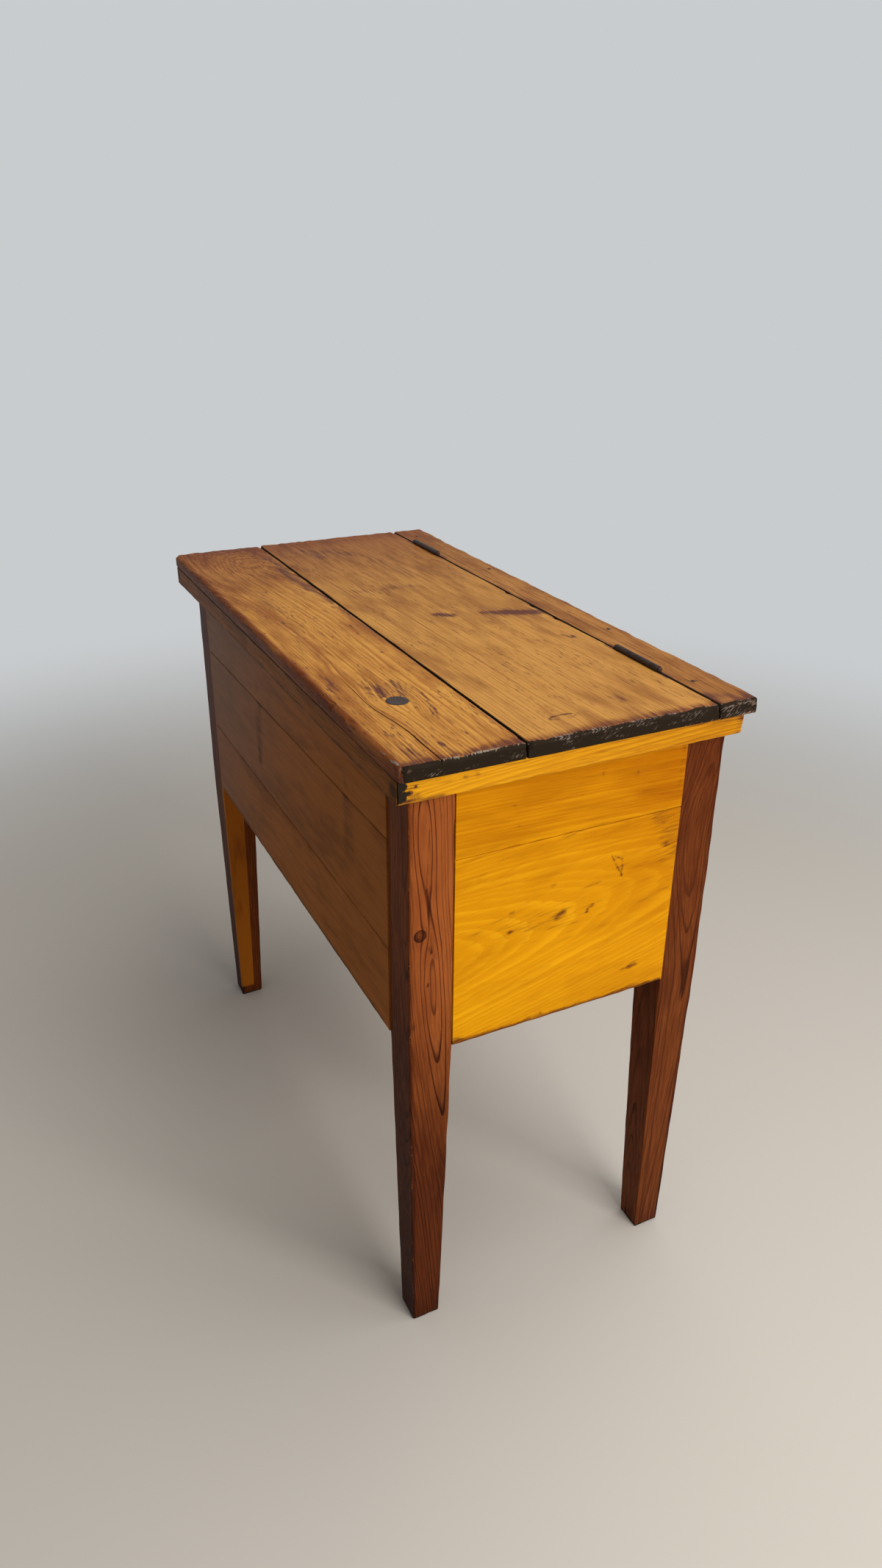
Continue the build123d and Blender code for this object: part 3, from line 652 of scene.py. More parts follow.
def on_top(z, high):
    """1 on a lid plank's top face, falling to 0 at 6 mm below it."""
    return ramp(z, high[2] - 6, high[2] - 1)


for side in (-1, 1):
    plank = round_plan(plank, low, high, (side, -1), 8.0)
x, y, z = np.moveaxis(plank, -1, 0).copy()
flat = on_top(z, high)

# the crack: its column leans over to the path, and its neighbours follow by less
path = np.interp(x, CRACK[:, 0], CRACK[:, 1])
drawn_over = (path - CRACK_COLUMN) * np.exp(-((y - CRACK_COLUMN) / 9) ** 2) * ramp(x, 120, 160)
groove = hump(y, CRACK_COLUMN, 0.35) * ramp(x, 150, 210) * (1.5 - 0.4 * ripple(plank, 25, 5))
y = y + drawn_over
z = z - groove * flat

# the hole: points near its rim are drawn onto it, and those inside go down to its floor
away = np.stack([x - PLUG[0], y - PLUG[1]], -1)
distance = np.linalg.norm(away, axis=-1)
off = distance - HOLE
drawn = np.where(np.abs(off) < RIM, HOLE + np.sign(off) * RIM * (np.abs(off) / RIM) ** 3, distance)
scale = np.where(flat > 0.5, drawn / np.maximum(distance, 1e-6), 1)
x, y = PLUG[0] + away[..., 0] * scale, PLUG[1] + away[..., 1] * scale
z = np.where((flat > 0.5) & (off < 0), high[2] - HOLE_DEEP, z)
z = z - 0.35 * flat * hump(drawn, HOLE, 1.2) * (off >= 0)
print("deepest part of the crack", round(float(groove.max()), 2), "mm")

# %% [markdown]
# Then come dents: a chip in the nose, a few knocks along it, and a slow wave, since boards never stay
# quite flat.

# %% Dents
z = z - flat * (0.35 + 0.3 * ripple(plank, (200, 60, 60), 6))
chip = hump(x, 233, 3.5) * ramp(z, high[2] - 11, high[2] - 3)
y = y + 2.6 * chip * hump(y, low[1], 6)
knocks = np.clip(ripple(plank, (26, 30, 30), 7) - 0.75, 0, 1) * hump(y, low[1], 5) * flat
z = z - 2.0 * knocks
front_plank_shape = np.stack([x, y, z], -1)
print("deepest knock", round(2 * float(knocks.max()), 2), "mm, chip", round(2.6 * float(chip.max()), 2), "mm")

# %% [markdown]
# All three planks of the top have worn ends, so one function says how: soot lies on the end grain, the
# arris above it is rubbed and carries painted highlights, and varnish has gone brown inward of it. Each
# is a rule on the distance in from the end, made uneven by ripples.

# %% Worn ends


def end_wear(points, low, high, seed):
    """Wear on the ends of a plank: four arrays, its soot, rub, varnish and stain.

    The lid is darker over its left half, the end further from the light. The rub on the ends is partly
    painted highlight.
    """
    x, y, z = np.moveaxis(points, -1, 0)
    waver = 0.8 * ripple(points, (40, 22, 40), seed) + 0.3 * ripple(points, 7, seed + 1)
    inward = high[0] - x + waver
    outward = x - low[0] + waver
    crown = ramp(z, high[2] - 7, high[2] - 3)
    soot = np.maximum(1 - ramp(inward - 1.6 * crown, 0.6, 2.0), 0.6 * (1 - ramp(outward, 0.5, 3.0)))
    # rub on the arris and the end grain: partly worn, scored wood and partly painted highlight, pale slanting
    # strokes and a grey sheen
    arris_rub_and_highlight = 0.44 * hump(inward, 2.5, 2.0) * crown
    end_grain_rub_and_sheen = (0.29 + 0.05 * ramp(y, -60, 20) + 0.05 * ramp(y, 140, 160)) * (inward < 2)
    rub = np.maximum(arris_rub_and_highlight, end_grain_rub_and_sheen) * (0.8 + 0.25 * ripple(points, (60, 60, 8), seed + 3))
    uneven = inward - 4 * ripple(points, (90, 45, 90), seed + 4)
    # darker over the lid's left half and near its left end, laid as varnish
    left = 0.72 * (1 - ramp(x, -420, 100)) + 0.3 * (1 - ramp(outward, 2, 60))
    varnish = np.maximum(0.7 * (1 - ramp(uneven, 4, 22)), left)
    stain = 0.15 * ramp(x, 340, 398) + 0.55 * (1 - ramp(uneven, 3, 16))
    return soot, np.clip(rub, 0, 1), varnish, stain


soot, rub, varnish, stain = end_wear(plank, low, high, 10)
print("soot over", round(100 * float((soot > 0.5).mean())), "% of the front plank's points")

# %% [markdown]
# Last comes the front plank's own age. Varnish has run down over its nose, grime and painted shade sit in
# its joint and in the crack, and bruises and smudges fall where the table of marks says, thickest round
# the plug, where the grain of the lost knot still shows. Painted highlights lie on its back arris and on
# its nose. Arches that the saw laid bare lie at its left end.

# %% Front plank's marks
STRONGEST = 0.75  # marks that lie over one another never stain more than this
ARCH, ARCH_LINE = 24, -112  # one arch follows another by this much, and they all point along this line
# painted highlights on the nose: two short pale strokes, laid as rub
glints = [(351, -193.5, 361, -192.5, 1.2, 0.5), (374, -193, 388, -192, 1.6, 0.6)]
marks = [(240, -136, 197, -141, 2, 0.5), (238, -139, 208, -146, 2.2, 0.55),
         (240, -142, 222, -151, 1.8, 0.45), (236, -134, 206, -134, 1.5, 0.45),
         (241, -145, 229, -154, 1.4, 0.4), (205, -142, 238, -139, 8, 0.28),
         (241, -127, 206, -125, 1.6, 0.5), (242, -124, 199, -116, 2, 0.55),
         (244, -121, 205, -111, 1.8, 0.5), (247, -120, 213, -106, 1.6, 0.45),
         (250, -119, 225, -104, 1.4, 0.4), (205, -117, 243, -123, 8, 0.28),
         (216, -102, 246, -102, 1.8, 0.5), (245, -102, 267, -106, 1.6, 0.5),
         (266, -107, 290, -109, 1.5, 0.45), (288, -109, 312, -116, 2, 0.5),
         (300, -105, 328, -107, 2.2, 0.5), (333, -96, 349, -96, 2, 0.5), (280, -111, 306, -120, 1.5, 0.45),
         (262, -121, 277, -117, 1.2, 0.45), (276, -124, 277, -124, 1.8, 0.9),
         (328, -131, 329, -131, 1.3, 0.9), (363, -140, 368, -139, 2.2, 0.9),
         (351, -108, 354, -108, 1.6, 0.7), (352, -152, 386, -138, 9, 0.3), (350, -180, 392, -177, 9, 0.45),
         (318, -174, 332, -170, 1.8, 0.7), (320, -179, 333, -175, 1.6, 0.6),
         (362, -172, 380, -169, 1.8, 0.6), (166, -175, 187, -175, 2.2, 0.7),
         (184, -177, 205, -176, 2.2, 0.7), (183, -180, 206, -183, 2, 0.6), (14, -87, 20, -88, 2.5, 1),
         (116, -92, 119, -92, 2.2, 1), (-394, -165, -380, -110, 22, 0.4), (-330, -78, -250, -80, 7, 0.5),
         (-250, -84, -150, -78, 8, 0.75), (-150, -78, -77, -73, 5, 0.75), (-60, -74, 90, -73, 3, 0.5),
         (-120, -150, -60, -146, 5, 0.35), (60, -168, 110, -172, 6, 0.35)]

# grime and painted shade in the gap at the back edge and in the crack, laid as soot
joint_grime_and_shade = 1.1 * hump(y, high[1], 1.2)
coats = (1 - ramp(y, low[1] + 3, low[1] + 10) * flat) * (0.95 + 0.1 * ripple(plank, 70, 17))
varnish = np.maximum(varnish, coats)
soot = np.maximum(soot, np.maximum(joint_grime_and_shade, hump(y - path, 0, 0.6) * ramp(x, 165, 215) * flat))
nose = (y < low[1] + 7) * (1 - ramp(z, high[2] - 7, high[2] - 2))
nose = nose * (0.95 + 0.2 * ripple(plank, (90, 30, 12), 18))
# a painted highlight: a pale line along the back arris, laid as rub
back_arris_highlight = hump(y, high[1] - 2.2, 1.0) * flat
rub = np.maximum(rub, 0.4 * back_arris_highlight * (0.8 + 0.4 * ripple(plank, (50, 50, 50), 19)))
rub = np.maximum(rub, smears(plank, XYZ, glints, 90) * (z > high[2] - 3))
stain = stain + np.minimum(smears(plank, XYZ, marks, 60), STRONGEST)
# the arches are parabolas, as rings 3 mm wide make where they dip by 1 in 8
arch = (x + (y - ARCH_LINE) ** 2 / 18.75) % ARCH
arches = hump(arch, ARCH / 2, 3) * (1 - ramp(x, -270, -210))
arches = arches * (1 - ramp(np.abs(y - ARCH_LINE), 25, 50)) * flat
stain = stain + 0.5 * arches + 0.5 * hump(distance, HOLE, 1.0) * (off > -0.5)
stain = stain + nose * (0.74 - 0.44 * ramp(x, -50, 320))
print(len(marks), "marks, and arches over", round(100 * float((arches > 0.5).mean()), 1), "% of the points")

# %% [markdown]
# The tree of the front plank was crooked: its pith dips away at the left. The figure that a noise
# gives depends on how far up the tree the plank was cut, so that is chosen.

# %% Front plank
UP_THE_TREE = 813
INSIDE = 393  # the underside is bare between these, left and right of the middle
underside = (z < low[2] + 1) & (y > low[1] + 7) & (np.abs(x) < INSIDE)
age = aged(plank, stain, soot * (off > 0), rub, varnish, bare=underside)
trunk = in_trunk(plank, XYZ, (low + high) / 2,
                 course=[(-400, -120, 654), (-340, -113, 665), (-280, -106, 672.5), (-220, -97, 676),
                         (-100, -80, 678), (0, -72, 679), (400, -70, 680)],
                 knots=((250, -131, 42, 18, 0.8), (310, -116, 60, 12, 0.4)))
trunk[..., 0] += UP_THE_TREE
make_piece("front_plank", "lid_front_plank", front_plank_shape, lid_pine, trunk, age)

# %% [markdown]
# ## The wide plank and the back strip
#
# The wide plank was cut nearer the side of the trunk, so its lines run straight. Both pieces make room
# for the hinges: the barrel lies in a hollow in their edges and the leaves in a shallow step below
# it. The hollow is the same idea as rounding, turned round: a point inside the barrel's clearance
# is pushed straight out of it.

# %% Seats for the hinges
HINGE_MIDDLES = (-273.0, 257.0)
HINGE_AXIS = np.array([147.2, 742.8])
BARREL_HALF, BARREL_ROOM = 42.35, 3.8  # half the length of a barrel's hollow, and its radius
LEAF_HALF, LEAF_OFF, LEAF_FOOT = 38.05, 1.8, 728.8  # a leaf's half length, its back's distance, its foot
hinge_stations = [m + side * reach for m in HINGE_MIDDLES for side in (-1, 1)
                  for reach in (38.0, 38.1, 42.3, 42.4)]
hinge_levels = (728.7, 728.9)


def seat_hinges(points, away):
    """Cut the hinges' seats: a step for the leaf, and a hollow for the barrel.

    Points that stand in the leaf's way move back to the plane behind it, and points nearer to the axis
    than the barrel's room move straight out from the axis to that distance. away is -1 for the lid and
    +1 for the strip, the direction from the axis into the wood.
    """
    x, y, z = np.moveaxis(points, -1, 0).copy()
    for middle in HINGE_MIDDLES:
        leaf = (np.abs(x - middle) < LEAF_HALF) & (z > LEAF_FOOT)
        wall = HINGE_AXIS[0] + away * LEAF_OFF
        y = np.where(leaf, np.maximum(y * away, wall * away) * away, y)
        off = np.stack([y, z], -1) - HINGE_AXIS
        distance = np.linalg.norm(off, axis=-1)
        inside = (np.abs(x - middle) < BARREL_HALF) & (distance < BARREL_ROOM)
        push = np.where(inside, BARREL_ROOM / np.maximum(distance, 0.1), 1)
        y, z = HINGE_AXIS[0] + off[..., 0] * push, HINGE_AXIS[1] + off[..., 1] * push
    return np.stack([x, y, z], -1)


def hinge_marks(y, strength):
    """Dark wood past both ends of each barrel, along the hinges' line."""
    return [(m + side * 56, y, m + side * 40, y, 3.5, strength) for m in HINGE_MIDDLES for side in (-1, 1)]


print("hinge seats in the middle of", HINGE_MIDDLES, "with", len(hinge_stations), "extra rows")

# %% [markdown]
# The wide plank's back edge is chipped, a long knot shows near its right end, and damp has left a few
# soft brown patches.

# %% Wide plank
ENDS = 385  # the ends of these two planks are worn beyond this, left and right of the middle
low, high = corners("lid_wide_plank")
plank = board_grid(low, high, XYZ, 3.0, edge=3.0, stations=[*hinge_stations, *range(345, 368)],
                   columns=[143.0, 144.0, 144.8, *range(-26, 10)], levels=hinge_levels)
x, y, z = np.moveaxis(plank, -1, 0)
top, middle_part = z > high[2] - 8, np.abs(x) < ENDS
chips = hump(x, -24, 7) + hump(x, 39, 9) + hump(x, 94, 8) + 0.4 * hump(x, -170, 6)
radius = np.where(top & ~middle_part, 4.2 + 1.7 * ripple(plank, (60, 20, 60), 21), 0.8)
radius = np.where(top & middle_part & (y > 130), 0.8 + 3.2 * chips, radius)
radius = np.where(top & middle_part & (y < -50), 1.9 + 0.5 * ripple(plank, 26, 22), radius)
shape = ease(plank, low, high, np.clip(radius, 0.5, ROUNDEST))
shape[..., 2] -= on_top(z, high) * (0.3 + 0.28 * ripple(plank, (240, 90, 60), 23))
shape = seat_hinges(shape, -1)

marks = [(-335, -18, -292, -11, 14, 0.62), (-322, 12, -290, 26, 14, 0.58), (-110, -30, -104, 55, 12, 0.4),
         (20, 24, 30, 36, 8, 1), (36, 78, 60, 136, 8, 0.8), (46, 102, 62, 140, 12, 0.6),
         (148, 118, 162, 126, 3, 0.6), (353, -18, 353, 2, 2.2, 0.5), (332, 62, 346, 67, 4, 0.6),
         (157, 129, 161, 129, 2.5, 0.6), (-240, 60, -150, 66, 14, 0.35), (-30, 146, -12, 146, 4, 0.5),
         (30, 146, 110, 146, 4, 0.5)]
soot, rub, varnish, stain = end_wear(plank, low, high, 24)
# grime and painted shade in the gaps at both edges, laid as soot, and dark chips along the back edge
gap_grime_and_shade = np.maximum(1.1 * hump(y, low[1], 1.0), 1.2 * hump(y, high[1], 1.3))
soot = np.maximum(np.maximum(soot, gap_grime_and_shade), hump(y, high[1], 4) * np.clip(chips, 0, 1) * top)
stain = stain + smears(plank, XYZ, marks + hinge_marks(146, 0.9), 30)
stain = stain + 0.8 * knot_face(plank, XYZ, (357, -8), (5.0, 14), fill=0.15)
trunk = in_trunk(plank, XYZ, (low + high) / 2, pith=(-190, -95), lean=(0.03, 0.0),
                 knots=((30, 38, 40, 14, 0.5), (356, -9, 30, 9, 0.85), (340, 65, 20, 7, 0.5)))
underside = (z < low[2] + 1) & (np.abs(x) < INSIDE)
make_piece("wide_plank", "lid_wide_plank", shape, wide_pine, trunk,
           aged(plank, stain, soot, rub, varnish, bare=underside))

# %% [markdown]
# The back strip is nailed down, and round each nail the wood has gone dark.

# %% Back strip
low, high = corners("back_strip")
strip = board_grid(low, high, XYZ, 3.0, edge=3.5, stations=hinge_stations, columns=(149.6, 150.4, 151.4),
                   levels=hinge_levels)
x, y, z = np.moveaxis(strip, -1, 0)
top, outer = z > high[2] - 8, (np.abs(x) > ENDS) | (y > high[1] - 12)
radius = np.where(top & outer, 3.8 + 1.3 * ripple(strip, (50, 20, 60), 41), 0.9)
radius = np.where(top & ~outer & (y < low[1] + 8), 0.9 + 1.6 * np.clip(ripple(strip, 22, 42), 0, 1), radius)
shape = ease(strip, low, high, np.clip(radius, 0.5, ROUNDEST))
for side in (-1, 1):
    shape = round_plan(shape, low, high, (side, 1), 4.5)
shape[..., 2] -= on_top(z, high) * (0.25 + 0.22 * ripple(strip, (200, 60, 60), 43))
shape = seat_hinges(shape, 1)

nails = ((-354, 169), (-140, 180.5), (152.6, 180.5), (332.4, 163.4))
marks = [(nail_x, nail_y, nail_x + 1, nail_y, 4.5, 0.6) for nail_x, nail_y in nails]
marks += [(-396, 190, 396, 192, 6, 0.3), (370, 150, 392, 190, 9, 0.4), (-60, 150, 120, 149, 4, 0.4),
          (370, 150, 385, 152, 5, 0.3)]
soot, rub, varnish, stain = end_wear(strip, low, high, 44)
# grime and painted shade in the gap along its front edge, laid as soot
soot = np.maximum(soot, 1.2 * hump(y, low[1], 1.5))
stain = stain + 0.08 + smears(strip, XYZ, marks + hinge_marks(149, 0.8), 50)
trunk = in_trunk(strip, XYZ, (low + high) / 2, pith=(70, -60), lean=(-0.02, 0.0))
age = aged(strip, stain, soot, rub, np.maximum(varnish, 0.5))
make_piece("back_strip", "back_strip", shape, wide_pine, trunk, age)

# %% [markdown]
# ## Boards in a row
#
# The remaining boards differ only in where they lie, how they were sawn and what marks they bear, so one
# function makes them and a table says the rest. A board whose joint runs uphill is made straight
# and then sheared, and its ends are cut down to tongues that go into grooves in the legs.

# %% One function for the plain boards


def plain_board(node, name, pith, lean=(0.0, 0.0), *, axes, material, knots=(), marks=(), soot_marks=(),
                faces=(), browned=(), step=4.0, edge=1.3, grime=0.3, coats=0.0, tongue=None, cut=None,
                seed=0):
    """A board with worn edges in a CAD node's place.

    tongue is (lower shoulder, upper shoulder, face, +1 or -1): beyond a shoulder, points outside the
    face move back to it, and the side away from the face is bare. cut moves the finished points.
    grime is how dark its long edges are, marks and soot_marks are smears, and faces are knots, each
    (middle, radii, how dark). browned lists ramps of built-up varnish, each (axis, from, to, amount);
    on the rail and the right end boards they also paint shade, and on the front boards a grey sheen.
    coats is how thick the filler and varnish lie on the outer face, towards + or -, where they
    hide the heads of nails.
    """
    long, wide, thick = axes
    low, high = corners(node)
    stations = [s + d for s in (tongue or ())[:2] for d in (-0.05, 0.05)]
    stations += [face[0][0] + d for face in faces for d in range(-8, 9)]
    columns = [face[0][1] + d for face in faces for d in range(-7, 8)]
    board = board_grid(low, high, axes, step, edge=max(edge, 1.0), stations=stations, columns=columns)
    shape = ease(board, low, high, np.clip(edge * (1 + 0.5 * ripple(board, 40, seed)), 0.3, 7))
    middle = (low + high) / 2
    shape[..., thick] += coats * ((board[..., thick] - middle[thick]) * coats > 0)
    inside = False
    if tongue:
        first, last, face, outward = tongue
        beyond = (shape[..., long] < first) | (shape[..., long] > last)
        limited = (np.minimum if outward > 0 else np.maximum)(shape[..., thick], face)
        shape[..., thick] = np.where(beyond, limited, shape[..., thick])
        inside = (board[..., thick] - middle[thick]) * outward < -2
    if cut:
        shape = cut(shape)
    edges = np.minimum(board[..., wide] - low[wide], high[wide] - board[..., wide])
    stain = grime * hump(edges, 0, 5) * (0.8 + 0.5 * ripple(board, (60, 60, 60), seed + 1))
    stain = stain + smears(board, axes, marks, seed + 2)
    stain = stain + sum((knot_face(board, axes, *face) for face in faces), 0.0)
    soot = smears(board, axes, soot_marks, seed + 40)
    varnish = sum((amount * ramp(board[..., axis], start, stop)
                   for axis, start, stop, amount in browned), 0.0)
    trunk = in_trunk(board, axes, middle, pith, lean, knots)
    make_piece(name, node, shape, material, trunk, aged(board, stain, soot, 0.0, varnish, bare=inside))


print("boards to make with it:", sum("_board_" in node for node in frame["nodes"]))

# %% [markdown]
# ### Front and back
#
# The front is three boards. The upper joint climbs 12 mm from left to right, because the middle board
# was left as wide as its tree allowed. Hands and aprons have rubbed dark streaks down it.

# %% Front boards
XZY = (0, 2, 1)
REACH, CLIMB = 328, 12  # the front boards' ends, left and right of the middle, and the joint's climb
front = dict(axes=XZY, material=front_pine, tongue=(-318, 318, -165.5, -1))


def climb(base, fixed):
    """A shear that turns a level edge at base into one that climbs from left to right across the box."""
    def moved(points):
        rise = (points[..., 0] + REACH) / (2 * REACH) * CLIMB
        share = (points[..., 2] - fixed) / (base - fixed)
        shape = points.copy()
        shape[..., 2] = points[..., 2] + share * (rise - CLIMB if base > fixed else rise)
        return shape
    return moved


# the ramps lay the grey-brown skin thicker towards the left end: smoky varnish and a painted grey sheen
plain_board("front_board_bottom", "front_bottom_board", (30, 70), (0.02, 0.03), **front, seed=100,
            marks=[(-300, 400, 300, 400, 5, 0.5)], browned=((0, 60, -330, 0.5),))
plain_board("front_board_middle", "front_middle_board", (-90, 80), (-0.03, 0.02), **front, seed=120,
            cut=climb(627, 501.6), browned=((0, 240, -330, 0.6),),
            marks=[(-84, 622, -92, 545, 12, 0.45), (-104, 606, -100, 536, 9, 0.35),
                   (211, 630, 212, 565, 13, 0.45), (228, 618, 230, 560, 9, 0.25)])
plain_board("front_board_top", "front_top_board", (60, 60), (0.02, -0.04), **front, seed=140,
            cut=climb(615.6, 724), browned=((0, 260, -330, 0.65),),
            marks=[(211, 640, 212, 632, 8, 0.4), (-92, 640, -90, 632, 8, 0.3),
                   (-318, 660, -312, 700, 14, 0.3)])

# %% [markdown]
# The back stood against the wall: three level boards, two of them with a large knot.

# %% Back boards
back = dict(axes=XZY, material=back_pine, tongue=(-318, 318, 177.5, 1))
plain_board("back_board_bottom", "back_bottom_board", (-40, -80), (0.03, 0.04), **back, seed=160,
            knots=((120, 455, 30, 12, 0.85),),
            marks=[(116, 455, 124, 455, 7, 0.9), (-220, 470, -214, 470, 4, 0.8)])
plain_board("back_board_middle", "back_middle_board", (20, -66), (-0.02, 0.06), **back, seed=180,
            knots=((-180, 560, 34, 14, 0.85),), marks=[(-184, 560, -176, 561, 8, 0.9)])
plain_board("back_board_top", "back_top_board", (90, -70), (0.03, -0.03), **back, seed=200,
            marks=[(60, 660, 140, 650, 12, 0.25)])

# %% [markdown]
# ### The ends
#
# The lower board of the right end is cut through the middle of its tree: the rings come out as arches
# one inside another, because the pith lies deeper the further back it goes. A few small knots and
# a brown bruise near the back leg came with it. The left end is its plainer sister.

# %% Right end
YZX = (1, 2, 0)
right = dict(axes=YZX, material=end_pine, tongue=(-125, 137, 358.5, 1))
# the ramps up the height of both right end boards darken them towards the lid: browned varnish and painted
# shade under its overhang
plain_board("right_end_board_bottom", "right_end_bottom_board", (15, -100), (0.126, -0.09), **right, seed=220,
            step=2.0, grime=0.25, browned=((2, 400, 620, 0.3), (1, -20, 130, 0.2)),
            knots=((31, 522, 16, 6, 0.7), (94, 431, 16, 6, 0.8), (-4, 524, 14, 5, 0.5),
                   (121, 576, 12, 5, 0.5)),
            marks=[(29, 521, 36, 525, 1.8, 0.9), (28, 518, 30, 518, 1.6, 0.8), (-8, 521, 0, 526, 3.2, 0.6),
                   (90, 430, 98, 432, 3, 0.9), (80, 430, 92, 431, 2, 0.6), (-15, 561, -12, 562, 2.6, 0.5),
                   (-63, 542, -60, 542, 1.8, 0.6), (-64, 519, -61, 519, 1.8, 0.6),
                   (-100, 503, -97, 503, 2.4, 0.4), (-99, 587, -92, 587, 4, 0.3),
                   (121, 576, 124, 576, 3, 0.6), (114, 604, 136, 572, 16, 0.42),
                   (134, 520, 120, 522, 3, 0.4), (-125, 399, 134, 399, 4, 0.85),
                   (-122, 404, -118, 402, 5, 0.6), (54, 580, 69, 552, 1.1, 0.8), (69, 552, 68, 572, 1, 0.8),
                   (68, 572, 58, 578, 1, 0.7), (66, 580, 73, 579, 1.2, 0.5), (-70, 528, 10, 520, 20, 0.25)])
plain_board("right_end_board_top", "right_end_top_board", (-170, -110), (-0.05, 0.02), **right, seed=240,
            step=3.0, grime=0.2, browned=((2, 610, 630, 0.45), (1, 20, 130, 0.2)),
            marks=[(-64, 662, -62, 662, 1.8, 0.7), (-58, 640, -56, 640, 1.8, 0.5),
                   (12, 656, 14, 656, 1.8, 0.6), (36, 676, 38, 680, 2.2, 0.5), (76, 664, 78, 672, 1.8, 0.5),
                   (-10, 702, 20, 706, 5, 0.3), (132, 640, 134, 720, 3, 0.4)])

# %% Left end
left = dict(axes=YZX, material=end_pine, tongue=(-125, 137, -358.5, -1))
plain_board("left_end_board_bottom", "left_end_bottom_board", (-20, 40), (0.05, 0.12), **left, seed=260,
            knots=((-27, 470, 18, 7, 0.8), (63, 560, 18, 7, 0.8)),
            marks=[(-30, 470, -24, 470, 4, 0.8), (60, 560, 66, 561, 4, 0.8)])
plain_board("left_end_board_top", "left_end_top_board", (110, 80), (0.04, 0.0), **left, seed=280)

# %% [markdown]
# ### The moulding under the lid
#
# A rail runs along the front and a cleat along each end, and they meet in mitres at the front corners.
# The cleats' tops fall 3 mm behind the lid, so a wedge of shadow shows under the back strip. The right
# cleat's front tip is charred black where a lamp or iron once stood too near.

# %% Cuts for the rail and cleats
RAIL_FACE, RAIL_THICK, RAIL_HALF = -194, 19.5, 388.6
CLEAT_FACE, CLEAT_THICK, CLEAT_TIP = 389, 21.5, -193.6
STRIP, CLEAT_FOOT = (148, 37), (702, 22)  # where the strip and the cleats begin, and how far they reach


def mitre_rail(points):
    """Cut the rail's ends at 45 degrees or nearly: its length shrinks evenly from face to back."""
    back = (points[..., 1] - RAIL_FACE) / RAIL_THICK
    shape = points.copy()
    shape[..., 0] = points[..., 0] * (1 - back * CLEAT_THICK / RAIL_HALF)
    return shape


def shape_cleat(points):
    """Cut a cleat's front end to the mitre, by the distance from its outer face, and let its top fall."""
    inward = CLEAT_FACE - np.abs(points[..., 0])
    shape = points.copy()
    front = 1 - ramp(points[..., 1], CLEAT_TIP, -150)
    shape[..., 1] += front * inward * RAIL_THICK / CLEAT_THICK
    fall = np.clip((points[..., 1] - STRIP[0]) / STRIP[1], 0, 1) * 3
    shape[..., 2] -= fall * np.clip((points[..., 2] - CLEAT_FOOT[0]) / CLEAT_FOOT[1], 0, 1)
    return shape


print("the mitre is cut at", round(math.degrees(math.atan2(RAIL_THICK, CLEAT_THICK)), 1), "degrees")

# %% Rail and cleats
cleat = dict(axes=YZX, material=cleat_pine, edge=1.8, cut=shape_cleat)
# painted shade under the lid, laid as varnish, stain and soot: the rail darkens to the left, two long dark
# bands run along it, and a black line runs along its top
plain_board("front_rail", "front_rail", (20, 50), (0.01, 0.02), axes=XZY, material=front_pine, edge=1.8,
            cut=mitre_rail, seed=300, step=3.0, coats=-0.2, browned=((0, 300, -150, 0.25),),
            marks=[(380, 712, 389, 712, 6, 0.7), (-389, 712, -380, 712, 6, 0.6),
                   (-388, 701, 388, 701, 3, 0.3), (-388, 714, 388, 714, 14, 0.45)],
            soot_marks=[(-389, 724, 160, 724, 1.4, 1), (160, 724, 389, 724, 1, 0.7)])
plain_board("right_end_cleat", "right_end_cleat", (-60, -40), (0.03, 0.05), **cleat, seed=320, step=2.5,
            coats=0.2, grime=0.25, browned=((1, -150, 180, 0.5),), knots=((-184, 711, 12, 6, 0.8),),
            marks=[(-176, 716, -175.6, 716, 1.1, 1.2), (-192, 702, -150, 701, 3, 0.6),
                   (-190, 712, -178, 711, 6, 0.6), (-128, 716, -127, 714, 3, 0.5),
                   (-116, 717, -114, 716, 2.2, 0.5), (100, 723, 184, 720, 3, 0.4),
                   (178, 702, 184, 718, 5, 0.4)],
            soot_marks=[(-195, 707, -194.5, 724, 7, 1), (-192, 716, -186, 718, 2.6, 0.7),
                        (-191, 710, -182, 711, 2.8, 0.7), (-192, 706, -186, 706, 2, 0.7),
                        (-189, 723.5, -170, 724, 2, 0.6)],
            faces=[((-182, 710.5), (3.2, 2.6), 0.5)])
plain_board("left_end_cleat", "left_end_cleat", (50, 40), (0.02, 0.04), **cleat, seed=340, step=3.0,
            coats=-0.2, grime=0.35, marks=[(-192, 702, -150, 701, 4, 0.6)])

# %% [markdown]
# ## The legs
#
# A leg is a square post down to the lower edge of the boards and tapers below it, mostly on its inner
# faces. It is a board like the others, then tapered by a rule: each point keeps its share of the
# width while the width shrinks. Two of its columns sink in to make the grooves for the tongues.
# Fir keeps more of its stain in the late wood, so its rings show as dark lines; a crooked tree gives
# the long closed loops on the right front leg.

# %% One function for the legs
POST, FOOT, SET_IN = 48, 33, 5  # a leg's width above and at the floor, and how far the foot is set in
KNEE = 398  # the taper begins at the lower edge of the boards
GROOVE, GROOVE_FLOOR = (7.3, 16.7), 37.8  # the sides of a groove, and how far its floor is from outside


